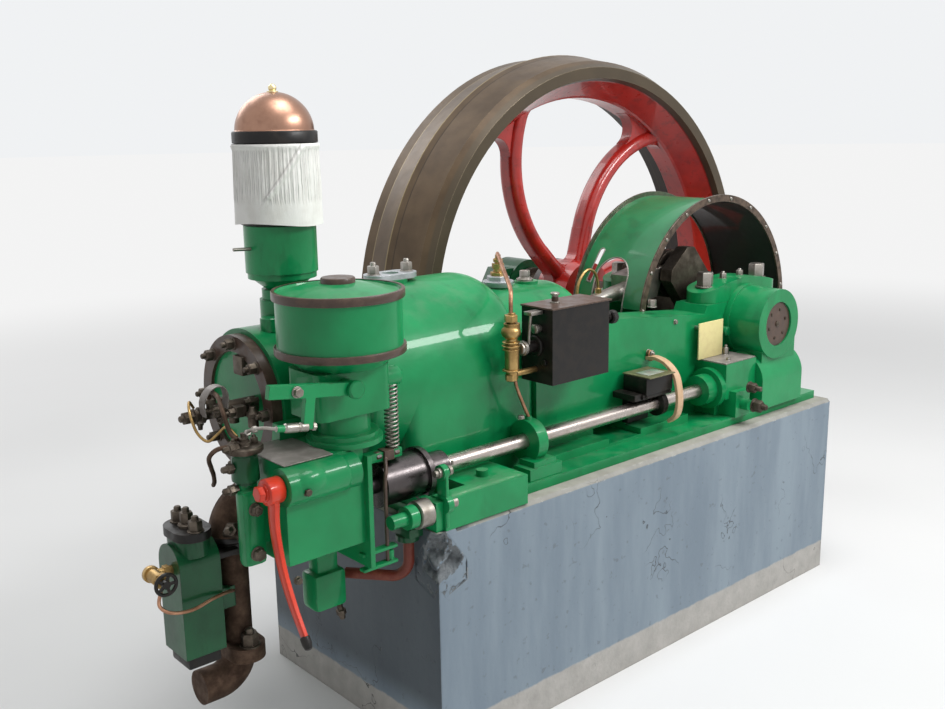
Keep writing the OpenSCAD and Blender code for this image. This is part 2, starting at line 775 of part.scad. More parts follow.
// Red-brown pipe off the foot plate, bent to run under the engine
module drain_pipe() color("#7c3a28") translate([-1444, -foot_near + 40, plinth_h - 30]) {
    drop = 50;
    turn = 45;
    rotate([0, 0, drain_turn]) {
        translate([0, 0, -drop]) cylinder(r = 13, h = drop + 14);
        translate([-turn, 0, -drop]) {
            rotate([-90, 0, 0]) rotate_extrude(angle = 90) translate([turn, 0]) circle(r = 13);
            translate([0, 0, -turn]) xcyl(13, 110, -110);
        }
    }
    xcyl(10, 19);
}

// Connecting rod with a forked end round the big-end block
module connecting_rod() color("silver") translate([wrist_x, 0, crank_z]) rotate([0, -rod_slope, 0])
    difference() {
        union() {
            xcyl(rod_r, rod_l - 200, 70);
            ycyl(46, 96, -48);
            xcyl(34, 40, 40);
            translate([rod_l - 200, -52, -44]) cube([160, 104, 88]);
        }
        ycyl(24, 120, -60);
        // room for the big-end block and the crank pin on their whole turn
        rotate([0, rod_slope, 0]) translate([-wrist_x, 0, 0]) {
            ycyl(throw + big_end_r + 5, 2 * big_end_half + 10, -big_end_half - 5);
            ycyl(throw + pin_r + 5, 130, -65);
        }
    }

module piston() color("dimgray") translate([wrist_x, 0, crank_z]) {
    difference() {
        xcyl(bore_r - 0.1, 300, -190);
        xcyl(bore_r - 30, 160, -48);
    }
    // wrist pin
    ycyl(24 - run_gap, 2 * bore_r - 40, 20 - bore_r);
}

// One web of the crank, from the shaft out past the pin
module crank_web(y) {
    xz_plate(y, y + web_t) {
        circle(r = shaft_r + 40);
        rotate(crank_angle) polygon([[-150, -web_r], [-150, web_r], [throw + web_r - 27, web_r - 5],
            [throw + web_r - 3, web_r - 31], [throw + web_r - 3, 31 - web_r],
            [throw + web_r - 27, 5 - web_r]]);
    }
}

module crankshaft() color("#8a7f76") at_crank() {
    ycyl(shaft_r, case_y - 40 - web_in, -case_y + 40);
    ycyl(shaft_r, shaft_tail - web_in - web_t, web_in + web_t);
    crank_web(-web_in - web_t);
    crank_web(web_in);
    translate([pin_x, 0, pin_z - crank_z]) ycyl(pin_r, 2 * web_in + 2, -web_in - 1);
    ycyl(76, 24, collar_y);
}

// Half section of the flywheel's rim, as [radius, distance along the shaft]
module rim_outline() {
    mid = rim_w / 2;
    polygon([[rim_in + 17, 30], [rim_in + 26, 0], [wheel_edge_r, 0], [wheel_edge_r + 22, 40],
        [wheel_r - 8, 150], [wheel_r, rim_w * 0.575], [wheel_r - 13, rim_w - 42],
        [wheel_r - 10, rim_w], [rim_in + 26, rim_w], [rim_in, rim_w - 18], [rim_in, mid + 58],
        [ring_in + 6, mid + 47], [ring_in, mid + 40], [ring_in, mid - 40], [ring_in + 6, mid - 47]]);
}

// Where circles round the origin and round c meet, on the rim's side
function meeting(c, from_c, from_o) =
    let (d = norm(c), a = (from_o * from_o - from_c * from_c + d * d) / (2 * d), u = c / d)
    a * u + sqrt(from_o * from_o - a * a) * [-u[1], u[0]];

// A curved spoke: straight off the hub, then an arc that leans back to the rim
module spoke() {
    straight = 240;
    bend = 450;
    reach = 76;
    c = [straight, -bend];
    foot_r = 62;
    out = meeting(c, bend + spoke_t / 2 + foot_r, ring_in - foot_r);
    in = meeting(c, bend - spoke_t / 2 - foot_r, ring_in - foot_r);
    rotate([90, 0, 0]) {
        translate([hub_r - 20, 0, 0]) rotate([0, 90, 0])
            linear_extrude(straight - hub_r + 22) rotate(90) slot_shape_y(spoke_t + 2, spoke_w + 2);
        translate([c[0], c[1], 0]) rotate(90 - reach) rotate_extrude(angle = reach)
            translate([bend, 0]) slot_shape_y(spoke_t, spoke_w);
        // fillets into the ring
        linear_extrude(spoke_w - 36, center = true) difference() {
            polygon([out, out * (ring_in + 16) / norm(out), in * (ring_in + 16) / norm(in), in,
                c + (in - c) * bend / norm(in - c), c + (out - c) * bend / norm(out - c)]);
            translate(out) circle(r = foot_r - lip);
            translate(in) circle(r = foot_r - lip);
        }
        // fillets into the hub
        linear_extrude(spoke_w - 36, center = true) hub_fillets();
    }
}

// Where a spoke leaves the hub
module hub_fillets() {
    g = 50;
    y = spoke_t / 2 + g;
    x = sqrt(pow(hub_r + g, 2) - y * y);
    difference() {
        polygon([[0, 0], [x, y], [x, -y]]);
        for (s = [-1, 1]) translate([x, s * y]) circle(r = g - lip);
    }
}

// A round-ended bar along the second axis, centred
module slot_shape_y(w, l) {
    square([w, l - w], center = true);
    for (s = [-1, 1]) translate([0, s * (l - w) / 2]) circle(d = w);
}

module flywheel() color("firebrick") at_crank() {
    mid = rim_y + rim_w / 2;
    difference() {
        union() {
            translate([0, rim_y, 0]) yturn() rim_outline();
            translate([0, mid - hub_l / 2, 0]) ycyl(hub_r, hub_l);
            intersection() {
                for (k = [0:spokes - 1])
                    translate([0, mid, 0]) rotate([0, -k * 360 / spokes - spoke_a, 0]) spoke();
                ycyl(rim_in + 20, 400, mid - 200);
            }
        }
        ycyl(shaft_r, 800, 200);
    }
}

module big_end() color("#6f665e") translate([pin_x, 0, pin_z]) difference() {
    ycyl(big_end_r, 2 * big_end_half, -big_end_half);
    ycyl(pin_r + run_gap, 2 * big_end_half + 2, -big_end_half - 1);
}

module side_shaft() color("gainsboro") at_side_shaft() {
    xcyl(side_r, -70 - (box_x - 15), box_x - 15);
    xcyl(cam_r, 118, -1512);
    xcyl(cam_r + 8, 14, -1394);
    xcyl(38, 64, -1380);
}

// Red hand lever on the control box's cross shaft
module hand_lever() color("tomato") translate([lever_x, lever_y, lever_z])
    rotate([-lever_lean, 0, 0]) {
        xcyl(27, 36, -18);
        xcyl(14, 50, 18);
        xcyl(15, 14, -32);
        rotate([0, 90, 0]) linear_extrude(14, center = true)
            polygon([for (p = [[0, -22], [70, -9], [150, -3], [240, -5], [lever_l - 8, -10],
                [lever_l, 0], [lever_l - 8, 10], [240, 18], [150, 22], [70, 22], [0, 22]]) p]);
    }

module handwheel() color("#333333") translate([valve_x, valve_y - 20, valve_z]) {
    yturn() translate([handwheel_r - 4, 5]) circle(r = 4);
    for (k = [0:4]) rotate([0, k * 72, 0]) translate([0, 2.5, -3]) cube([handwheel_r - 4, 5, 6]);
    ycyl(9, 12);
    ycyl(6, 58, 0);
}

plinth();
outboard_pier();
bed();
side_box();
cylinder_jacket();
cylinder_head();
head_ring();
bearing_caps();
outboard_bearing();
crank_guard();
gear_case();
gear_case_cover();
shaft_gear_box();
shaft_bearing();
lubricator();
lubricator_lid();
sight_pump();
revolution_counter();
counter_strap();
water_flange();
cylinder_oiler();
air_pot();
filter_cloth();
air_dome();
governor_drum();
governor_body();
governor_spring();
control_box();
rocker_arm();
fuel_pump();
injector();
cam_bracket();
exhaust_pipe();
filter_box();
filter_cap();
stop_valve();
drain_pipe();
connecting_rod();
piston();
crankshaft();
flywheel();
big_end();
side_shaft();
hand_lever();
handwheel();
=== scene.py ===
# %% [markdown]
# # Dressing a stationary oil engine
# The engine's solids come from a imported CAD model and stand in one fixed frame:
# metres, Z up, the floor at zero, the crankshaft above the origin. This notebook
# adds what the solids leave out: paint and metal, nuts, pipes, the cotton cover
# of the air filter, and a studio to look at it all. Nothing is loaded from disk
# apart from the frame itself, so every run gives the same engine.

# %% The frame and the tools
import math
import random

import bmesh
import bpy
from mathutils import Matrix, Vector, noise


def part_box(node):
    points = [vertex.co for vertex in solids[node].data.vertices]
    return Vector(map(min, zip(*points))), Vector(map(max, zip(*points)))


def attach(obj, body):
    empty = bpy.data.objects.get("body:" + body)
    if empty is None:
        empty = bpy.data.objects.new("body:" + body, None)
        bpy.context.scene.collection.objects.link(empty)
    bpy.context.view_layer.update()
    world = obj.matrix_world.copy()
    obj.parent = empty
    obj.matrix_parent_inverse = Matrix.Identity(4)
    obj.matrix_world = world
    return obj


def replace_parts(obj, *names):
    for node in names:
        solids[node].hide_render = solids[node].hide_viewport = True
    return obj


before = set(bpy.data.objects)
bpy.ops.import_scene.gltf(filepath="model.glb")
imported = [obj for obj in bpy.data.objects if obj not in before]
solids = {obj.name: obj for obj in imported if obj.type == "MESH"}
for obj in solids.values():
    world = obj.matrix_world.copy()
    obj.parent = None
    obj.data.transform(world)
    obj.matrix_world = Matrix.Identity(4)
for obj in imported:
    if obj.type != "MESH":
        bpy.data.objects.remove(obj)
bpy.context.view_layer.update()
MM = 0.001  # metres in a millimetre

# %% [markdown]
# ## Camera
# A camera can be placed by eye, or solved from straight edges and circles whose
# size is known. Here the edges of the plinth and two circles of the flywheel
# gave its place, its two angles and its slight roll. The lens follows from the
# picture, 945 by 709, so the sensor's width is fixed and the height follows.

# %% Camera
IMAGE_W, FOCAL_PIXELS, SENSOR = 945, 1040.3, 36.0
EYE = Vector((-2.821, -2.118, 1.5003))
YAW, PITCH, ROLL = (math.radians(a) for a in (48.70, 12.58, -0.885))
ahead = Vector((math.cos(YAW) * math.cos(PITCH), math.sin(YAW) * math.cos(PITCH), -math.sin(PITCH)))
level = Vector((math.sin(YAW), -math.cos(YAW), 0))
upright = level.cross(ahead)
across = level * math.cos(ROLL) + upright * math.sin(ROLL)
camera = bpy.data.objects.new("camera", bpy.data.cameras.new("camera"))
camera.data.sensor_fit = "HORIZONTAL"
camera.data.sensor_width = SENSOR
camera.data.lens = FOCAL_PIXELS / IMAGE_W * SENSOR
turn = Matrix((across, across.cross(ahead), -ahead)).transposed()
camera.matrix_world = Matrix.Translation(EYE) @ turn.to_4x4()
bpy.context.scene.collection.objects.link(camera)
bpy.context.scene.camera = camera
print("lens", round(camera.data.lens, 2), "mm")

# %% [markdown]
# ## Shader maths as expressions
# A material is a graph of nodes, and long graphs are hard to read as code. A
# small class wraps one output socket, and its operators add Math nodes, so a
# mask can be written as `1 - rust * 0.5`. A second class holds a graph and adds
# every other kind of node through a single method. A third reads the surface, for
# places, blotches and worn edges, and the last is one material with its shader.

# %% Sockets that do arithmetic
class Sock:
    """One output of a node; arithmetic on it adds Math nodes."""

    def __init__(self, graph, out):
        self.graph, self.out = graph, out

    def math(self, operation, *values):
        return self.graph.node("ShaderNodeMath", {"operation": operation}, dict(enumerate(values)))

    def __add__(self, other):
        return self.math("ADD", self, other)

    def __sub__(self, other):
        return self.math("SUBTRACT", self, other)

    def __rsub__(self, other):
        return self.math("SUBTRACT", other, self)

    def __mul__(self, other):
        return self.math("MULTIPLY", self, other)

    def __pow__(self, other):
        return self.math("POWER", self, other)

    __radd__, __rmul__ = __add__, __mul__

    def __abs__(self):
        return self.math("ABSOLUTE", self)

    def over(self, edge, soft):
        """0 below edge, 1 above it, with a smooth step of twice soft."""
        spread = {"Value": self, "From Min": edge - soft, "From Max": edge + soft}
        return self.graph.node("ShaderNodeMapRange", {"interpolation_type": "SMOOTHSTEP"}, spread)


# %% A graph of nodes
class Graph:
    """A tree of shader nodes, with the one way to add a node to it."""

    def __init__(self, tree):
        self.tree = tree

    def node(self, kind, settings={}, sockets={}, outlet=0):
        """Add a node, set it up, feed its sockets, and give one of its outputs."""
        made = self.tree.nodes.new(kind)
        for name, value in settings.items():
            setattr(made, name, value)
        for name, value in sockets.items():
            if isinstance(value, Sock):
                self.tree.links.new(value.out, made.inputs[name])
            else:
                made.inputs[name].default_value = value
        return Sock(self, made.outputs[outlet])

    def on_show(self):
        """1 for rays of the camera, in reflections and through glass, else 0."""
        seen = self.node("ShaderNodeLightPath", outlet="Is Camera Ray")
        rays = seen.out.node.outputs
        return seen + Sock(self, rays["Is Glossy Ray"]) + Sock(self, rays["Is Transmission Ray"])


# %% Reading the surface
class Surface(Graph):
    """A graph that knows places, blotches and edges on what it colours."""

    def __init__(self, tree):
        super().__init__(tree)
        self.place = self.node("ShaderNodeTexCoord", outlet="Object")
        self.x, self.y, self.z = self.split(self.place)

    def split(self, vector):
        """The three numbers of a vector."""
        parts = self.node("ShaderNodeSeparateXYZ", {}, {0: vector}).out.node.outputs
        return [Sock(self, out) for out in parts]

    def mix(self, mask, low, high, blend="MIX"):
        """A colour that goes from low to high with the mask."""
        low, high = ((*c, 1) if isinstance(c, tuple) else c for c in (low, high))
        return self.node("ShaderNodeMix", {"data_type": "RGBA", "blend_type": blend},
                         {0: mask, 6: low, 7: high}, 2)

    def noise(self, size, detail=3, rough=0.55, stretch=(1, 1, 1)):
        """Blotches about size millimetres across, with values round 0.5."""
        scale = tuple(s / (size * MM) for s in stretch)
        at = self.node("ShaderNodeVectorMath", {"operation": "MULTIPLY"}, {0: self.place, 1: scale})
        return self.node("ShaderNodeTexNoise", {}, {"Vector": at, "Scale": 1.0, "Detail": detail,
                                                    "Roughness": rough})

    def facing(self):
        """The surface's own direction, as three sockets."""
        return self.split(self.node("ShaderNodeTexCoord", outlet="Normal"))

    def corners(self, radius, soft=0.06):
        """A mask that is 1 along edges and in corners, and the rounded normal."""
        rounded = self.node("ShaderNodeBevel", {"samples": 3}, {"Radius": radius * MM})
        flat = self.node("ShaderNodeNewGeometry", outlet="Normal")
        same = self.node("ShaderNodeVectorMath", {"operation": "DOT_PRODUCT"}, {0: rounded, 1: flat}, "Value")
        return (1 - same).over(soft, soft), rounded


# %% One material
class Finish(Surface):
    """A material: its shader, and what feeds it."""

    def __init__(self, name, **fixed):
        self.mat = bpy.data.materials.new(name)
        self.mat.use_nodes = True
        super().__init__(self.mat.node_tree)
        self.shader = self.tree.nodes["Principled BSDF"]
        for socket, value in fixed.items():
            self.shader.inputs[socket.replace("_", " ")].default_value = value

    def feed(self, **sockets):
        """Link what varies over the surface to the shader."""
        for socket, value in sockets.items():
            self.tree.links.new(value.out, self.shader.inputs[socket.replace("_", " ")])
        return self

    def bump(self, height, depth, strength=1.0, normal=None):
        """Raise the surface by up to depth millimetres where height is 1."""
        sockets = {"Height": height, "Distance": depth * MM, "Strength": strength}
        if normal:
            sockets["Normal"] = normal
        return self.feed(Normal=self.node("ShaderNodeBump", {}, sockets))


def tell(*finishes):
    """Print each finish and how large its graph is."""
    for finish in finishes:
        print(finish.mat.name, len(finish.tree.nodes), "nodes")


# %% [markdown]
# ## Green enamel
# The castings wear many coats of brushed gloss enamel over rough iron: a deep
# green with wavy reflections, a little dust on top, oil-dark streaks and worn
# edges. A flat green would look like plastic, so two noises move the colour, a
# clear coat gives the gloss, and a slow bump makes the reflections swim.

# %% Enamel
def enamel(name, deep, bright, worn, wave=0.9):
    """Brushed gloss paint on a casting."""
    paint = Finish(name, Specular_IOR_Level=0.2, Coat_Roughness=0.04)
    edges, rounded = paint.corners(3.0)
    clouds = paint.noise(160)
    colour = paint.mix(clouds.over(0.5, 0.22), deep, bright)
    up = paint.facing()[2].over(0.75, 0.2)
    dust = up * paint.noise(45, 5).over(0.56, 0.14) * 0.17
    colour = paint.mix(dust, colour, (0.26, 0.27, 0.22))
    grime = paint.noise(90, 6, 0.65, (1, 1, 0.35)).over(0.63, 0.08) * 0.32
    colour = paint.mix(grime, colour, tuple(c * 0.35 for c in deep))
    chips = edges * paint.noise(14, 5).over(0.60, 0.05)
    colour = paint.mix(chips, colour, worn)
    paint.feed(Base_Color=colour, Roughness=0.27 + paint.noise(30, 4) * 0.14 + dust * 0.8,
               Coat_Weight=0.33 - dust - chips * 0.4)
    lumps = paint.noise(34, 2) * wave + paint.noise(7, 3) * 0.12 - chips * 0.35
    return paint.bump(lumps, 1.4, 0.55, rounded)


# %% The green, and a copy of it darkened as painted shade
green = enamel("green_enamel", (0.003, 0.205, 0.063), (0.005, 0.28, 0.088), (0.035, 0.03, 0.022))
# A darker copy of the green is painted shade, for castings that stand in shadow.
shaded_green = enamel("dark_green_enamel", (0.004, 0.05, 0.018), (0.008, 0.10, 0.035), (0.03, 0.024, 0.018))
tell(green, shaded_green)

# %% [markdown]
# ## Red enamel
# The spokes and the hand lever are the same brushed enamel in red. The lever is
# a bright orange red, and the spokes are a deeper red under a film of oil.

# %% Red enamel
red = enamel("red_enamel", (0.56, 0.028, 0.012), (0.72, 0.055, 0.022), (0.08, 0.02, 0.015), 0.4)
tell(red)

# %% [markdown]
# ## Concrete
# The plinth is cast concrete under blue-grey floor paint. Height decides what a
# spot looks like: bare, damp concrete on the foot, paint with dark runs on the
# sides, and trodden beige dust on the top. Thin bands of a stretched noise make
# the cracks, and they are also cut into the bump. Where the corner is broken off,
# the surface faces no axis, and that is how the mask finds the bare break.

# %% Concrete: paint, top and foot
TOP_FROM, FOOT_TO = 0.575, 0.101  # the heights where the dusty top starts and the bare foot ends
stone = Finish("painted_concrete", Roughness=0.7)
edges, rounded = stone.corners(7.0)
facing = stone.facing()
up = facing[2].over(0.6, 0.2) * stone.z.over(TOP_FROM, 0.006)
# The end face towards the head, which is darkened further down.
under = (0 - facing[0]).over(0.6, 0.2) * (1 - up)
runs = stone.noise(120, 5, 0.6, (1, 1, 0.16))
paint = stone.mix(runs.over(0.5, 0.22), (0.165, 0.215, 0.265), (0.235, 0.295, 0.345))
spots = stone.noise(22, 5).over(0.66, 0.04) * 0.5
paint = stone.mix(spots, paint, (0.11, 0.13, 0.15))
top = stone.mix(stone.noise(60, 6), (0.20, 0.19, 0.165), (0.46, 0.44, 0.39))
bare = stone.mix(stone.noise(35, 6), (0.30, 0.29, 0.27), (0.52, 0.50, 0.47))
low = 1 - (stone.z + stone.noise(50, 4) * 0.016).over(FOOT_TO, 0.004)
colour = stone.mix(up, paint, top)
wear = edges * stone.noise(30, 5).over(0.57, 0.05) * stone.z.over(0.45, 0.1)
colour = stone.mix(wear, colour, (0.50, 0.49, 0.46))
# The end face is darkened, partly as soot and partly as painted shade on the side away from the light.
colour = stone.mix(under * stone.z.over(0.12, 0.05) * 0.76, colour, (0.02, 0.025, 0.03))

# %% Concrete: the broken corner
slant = stone.z.over(0.42, 0.02) * (1 - stone.x.over(-1.33, 0.004)) * (1 - stone.y.over(-0.30, 0.02))
for part in facing:
    slant = slant * (1 - abs(part).over(0.96, 0.015))
crumbs = stone.mix(stone.noise(24, 6, 0.75).over(0.52, 0.3), (0.06, 0.072, 0.08), (0.22, 0.235, 0.24))
colour = stone.mix(slant * 0.92, colour, crumbs)
colour = stone.mix(low, colour, bare)

# %% Concrete: cracks and roughness
bent = stone.noise(300, 4, 0.6) + stone.noise(40, 3) * 0.06
crack = (1 - abs(bent - 0.53).over(0.0016, 0.0014)) * stone.noise(400, 1).over(0.54, 0.03)
colour = stone.mix(crack * 0.8, colour, (0.03, 0.035, 0.04))
stone.feed(Base_Color=colour, Roughness=0.42 + up * 0.4 + low * 0.45 + stone.noise(25, 4) * 0.15)
grit = stone.noise(9, 4) * (0.16 + low * 0.7 + up * 0.5 + slant * 2)
stone.bump(stone.noise(45, 3) * 0.5 + grit - crack * 0.8 - wear * 0.5, 2.2, 0.8, rounded)
tell(stone)

# %% [markdown]
# ## Bare and oiled metals
# Bright steel, dark oiled iron, brass and copper differ in colour and in how
# much oil and tarnish lies on them. One recipe serves all of them: a metal base
# with fine scratches in the roughness and a darker film that gathers in blotches.

# %% Metal
def metal(name, clean, film, rough, share=0.5, grain=(1, 1, 1), bevel=1.5, bite=0.25):
    """Machined or cast metal under a patchy film of oil or tarnish."""
    made = Finish(name, Metallic=1.0)
    edges, rounded = made.corners(bevel)
    blotch = made.noise(38, 5, 0.6).over(1 - share, 0.24)
    lines = made.noise(3, 2, 0.5, grain)
    colour = made.mix(blotch * 0.85, clean, film)
    colour = made.mix(edges * 0.5, colour, tuple(min(1, c * 1.5) for c in clean))
    made.feed(Base_Color=colour, Roughness=rough + blotch * 0.22 + lines * 0.12)
    return made.bump(lines, bite, 0.35, rounded)


# %% The metals of the engine
steel = metal("bright_steel", (0.370, 0.349, 0.319), (0.168, 0.139, 0.109), 0.27, 0.45)
knob_brass = metal("pale_brass", (0.80, 0.66, 0.38), (0.55, 0.40, 0.20), 0.25, 0.3)
iron = metal("oiled_iron", (0.15, 0.125, 0.10), (0.045, 0.034, 0.026), 0.33, 0.55)
brass = metal("brass", (0.55, 0.37, 0.15), (0.20, 0.12, 0.045), 0.24, 0.52)
copper = metal("copper", (0.56, 0.31, 0.20), (0.20, 0.09, 0.05), 0.28, 0.5)
zinc = metal("galvanised", (0.52, 0.54, 0.56), (0.32, 0.33, 0.34), 0.36, 0.5)
rust = metal("rusty_pipe", (0.13, 0.085, 0.06), (0.05, 0.032, 0.024), 0.50, 0.55, bite=0.8)
tell(steel, knob_brass, iron, brass, copper, zinc, rust)

# %% [markdown]
# ## Dark paints
# The lubricator, the counter and the filter's caps are near-black: stove enamel
# or oil-soaked paint, and a brownish bronze paint covers bands and flanges.
# These aren't metals to the light: their base is dark and the gloss is a coat.

# %% Stoving paint
def stoved(name, deep, pale, rough, coat=0.2):
    """Dark stoving paint with dusty patches and rubbed edges."""
    made = Finish(name, Specular_IOR_Level=0.28, Coat_Roughness=0.2)
    edges, rounded = made.corners(1.8)
    dust = made.noise(26, 5, 0.6).over(0.56, 0.14)
    colour = made.mix(dust * 0.7, deep, pale)
    colour = made.mix(edges * made.noise(9, 4).over(0.5, 0.1), colour, tuple(c * 2.2 for c in pale))
    made.feed(Base_Color=colour, Roughness=rough + dust * 0.2, Coat_Weight=coat - dust * coat * 0.7)
    return made.bump(made.noise(5, 4), 0.25, 0.5, rounded)


# %% Paints of the fittings
black = stoved("black_stove_enamel", (0.0065, 0.0055, 0.005), (0.022, 0.017, 0.014), 0.36, 0.06)
umber = stoved("umber_paint", (0.070, 0.043, 0.032), (0.125, 0.082, 0.062), 0.34, 0.2)
cream = stoved("cream_card", (0.80, 0.70, 0.34), (0.72, 0.61, 0.30), 0.45, 0.05)
strap = stoved("pale_strap", (0.62, 0.42, 0.26), (0.48, 0.30, 0.17), 0.5, 0.05)
olive = stoved("olive_lid", (0.11, 0.105, 0.05), (0.20, 0.19, 0.10), 0.4)
glass = stoved("counter_glass", (0.30, 0.31, 0.27), (0.42, 0.43, 0.38), 0.12, 0.6)
tin = stoved("oiled_sheet", (0.22, 0.195, 0.18), (0.34, 0.31, 0.285), 0.42)
oxide = stoved("red_oxide", (0.15, 0.030, 0.018), (0.24, 0.075, 0.045), 0.45, 0.1)
print(len(bpy.data.materials), "materials so far")

# %% [markdown]
# ## Finishes for the solids
# A solid whose shape is right keeps its mesh and gets a material. The flywheel
# and the crank guard are painted in zones, so their masks follow the distance
# from the crankshaft, which stays true while the wheel turns. The rim is dark with
# oil, with a dark line turned round it. Two pale lines, on its ridge and near its
# far edge, are painted highlights, its pale edges are partly worn metal and partly
# painted highlight, and the paint ends just inside it.

# %% The rim of the flywheel
AXIS = 872  # the crankshaft's height in millimetres
CRANK_Z = AXIS * MM
RIM_Y, RIM_IN = 0.378, 0.765  # the rim's near face, and where its inside starts


def radius_of(made):
    """Distance from the crankshaft's axis, in metres."""
    up = made.z - CRANK_Z
    return (made.x * made.x + up * up) ** 0.5


def line_round(made, y, half):
    """A mask for a line round the rim at y."""
    return 1 - abs(made.y - y).over(half, 0.001)


wheel = Finish("flywheel_zones")
edges, rounded = wheel.corners(3.0)
out = radius_of(wheel)
film = wheel.noise(90, 5, 0.5)
rim = wheel.mix(film.over(0.5, 0.3), (0.062, 0.037, 0.018), (0.115, 0.074, 0.039))
# Painted highlights: two pale lines, on the rim's ridge and near its far edge.
painted_rim_highlights = line_round(wheel, 0.556, 0.0022) + line_round(wheel, 0.646, 0.002)
rim = wheel.mix(painted_rim_highlights * 0.75, rim, (0.30, 0.23, 0.12))
rim = wheel.mix(line_round(wheel, 0.53, 0.002) * 0.6, rim, (0.02, 0.014, 0.01))
face = (1 - (wheel.y - RIM_Y).over(0.02, 0.004))
rim = wheel.mix(face * 0.7, rim, (0.07, 0.055, 0.035))
inside = (1 - out.over(RIM_IN, 0.003))
rim = wheel.mix(inside * 0.9, rim, (0.02, 0.014, 0.011))
# Pale rim edges: partly worn metal, partly painted highlight.
rim = wheel.mix(edges * 0.6, rim, (0.36, 0.29, 0.19))

# %% The spokes and hub of the flywheel
painted = (1 - out.over(RIM_IN - 0.002, 0.0015)) * (1 - wheel.y.over(0.592, 0.001))
blush = wheel.noise(120, 4)
scarlet = wheel.mix(blush.over(0.5, 0.2), (0.36, 0.012, 0.008), (0.54, 0.024, 0.016))
scarlet = wheel.mix(wheel.noise(50, 6, 0.65).over(0.6, 0.08) * 0.5, scarlet, (0.10, 0.012, 0.01))
wheel.feed(Base_Color=wheel.mix(painted, rim, scarlet), Metallic=(1 - painted) * (0.4 - inside * 0.35),
           Roughness=wheel.noise(25, 4) * 0.16 + 0.22 + (1 - painted) * 0.12, Coat_Weight=painted * 0.5)
wheel.bump(wheel.noise(30, 3) * 0.6 + wheel.noise(5, 3) * 0.15, 1.0, 0.5, rounded)
tell(wheel)

# %% [markdown]
# ## The crank guard
# The guard is a rolled sheet in green between two angle irons of brownish bronze,
# and its inside is painted near black. Width decides between sheet and angle iron,
# and a normal that points back to the crankshaft marks the inside.

# %% The crank guard in zones
GUARD_Y, SHEET_HALF = 0.020, 0.1358  # the guard's middle, and half the bare sheet's width
guard = Finish("crank_guard_zones", Coat_Roughness=0.07)
edges, rounded = guard.corners(1.5)
out = radius_of(guard)
bronze = abs(guard.y - GUARD_Y).over(SHEET_HALF, 0.0006)
facing = guard.facing()
inward = facing[0] * guard.x + facing[2] * (guard.z - CRANK_Z)
lining = (1 - inward.over(0, 0.02)) * (1 - bronze)
sheet = guard.mix(guard.noise(160).over(0.5, 0.2), (0.012, 0.17, 0.058), (0.02, 0.23, 0.085))
sheet = guard.mix(guard.noise(60, 6).over(0.62, 0.08) * 0.3, sheet, (0.01, 0.05, 0.02))
angle = guard.mix(guard.noise(20, 5).over(0.5, 0.15), (0.06, 0.042, 0.03), (0.15, 0.105, 0.075))
angle = guard.mix(edges * 0.6, angle, (0.38, 0.33, 0.28))
colour = guard.mix(bronze, sheet, angle)
# The inside is painted near black.
colour = guard.mix(lining, colour, (0.012, 0.011, 0.010))
guard.feed(Base_Color=colour, Metallic=bronze * 0.6, Coat_Weight=(1 - bronze) * 0.5,
           Roughness=0.26 + guard.noise(20, 4) * 0.16 + lining * 0.3)
guard.bump(guard.noise(50, 2) * 0.9 + guard.noise(6, 3) * 0.1, 1.2, 0.5, rounded)
tell(guard)

# %% [markdown]
# ## Side shaft and dome
# The side shaft is bright, with lines along it from turning, and its cam sleeve
# is blackened. The dome over the air filter is spun from copper and lies under a
# brown film. Both are metals of the kind above, the shaft with its sleeve mixed in.

# %% Side shaft and dome
SLEEVE_X = -1.315  # where the cam sleeve ends
shaft = metal("side_shaft_zones", (0.50, 0.445, 0.41), (0.33, 0.27, 0.235), 0.20, 0.4, (0.2, 1, 1))
sleeve = 1 - shaft.x.over(SLEEVE_X, 0.001)
plain = Sock(shaft, shaft.shader.inputs["Base Color"].links[0].from_socket)
shaft.feed(Base_Color=shaft.mix(sleeve * 0.88, plain, (0.045, 0.04, 0.045)))
dome = metal("spun_copper", (0.38, 0.215, 0.15), (0.22, 0.115, 0.08), 0.25, 0.35)
tell(shaft, dome)

# %% [markdown]
# ## Handing the finishes out
# Each solid could get its material by hand. A table does it in one loop, and it
# shows at a glance which castings share a finish.

# %% Handing the finishes out
FINISHES = {
    green: "side_box cylinder_jacket cylinder_head bed bearing_caps gear_case shaft_gear_box shaft_bearing "
           "air_pot governor_drum governor_body control_box rocker_arm cam_bracket",
    # These castings take the green darkened as painted shade.
    shaded_green: "outboard_bearing filter_box fuel_pump",
    stone: "plinth outboard_pier",
    umber: "head_ring lubricator_lid gear_case_cover",
    black: "lubricator revolution_counter filter_cap handwheel",
    steel: "governor_spring connecting_rod piston",
    shaft: "side_shaft",
    iron: "crankshaft big_end injector",
    brass: "sight_pump cylinder_oiler stop_valve",
    dome: "air_dome",
    oxide: "drain_pipe",
    zinc: "water_flange",
    rust: "exhaust_pipe",
    red: "hand_lever",
    strap: "counter_strap",
    cream: "filter_cloth",
    wheel: "flywheel",
    guard: "crank_guard",
}
for finish, names in FINISHES.items():
    for name in names.split():
        mesh = solids[name].data
        mesh.materials.clear()
        mesh.materials.append(finish.mat)
print("finished", sum(len(names.split()) for names in FINISHES.values()), "solids")

# %% [markdown]
# ## Making small pieces
# Nuts, plates and pipes are the same few shapes again and again. Each could be
# modelled by hand, but a helper keeps them alike: an outline turned round any
# direction, a bevelled slab, and a tube or a flat bar swept along a smooth line.
# They all draw into one bmesh, so a family of pieces becomes one object. Lengths
# here are millimetres in the engine's frame, and `settle` turns them into metres.
# Directions have names, and so have the uprights that many pieces stand on.

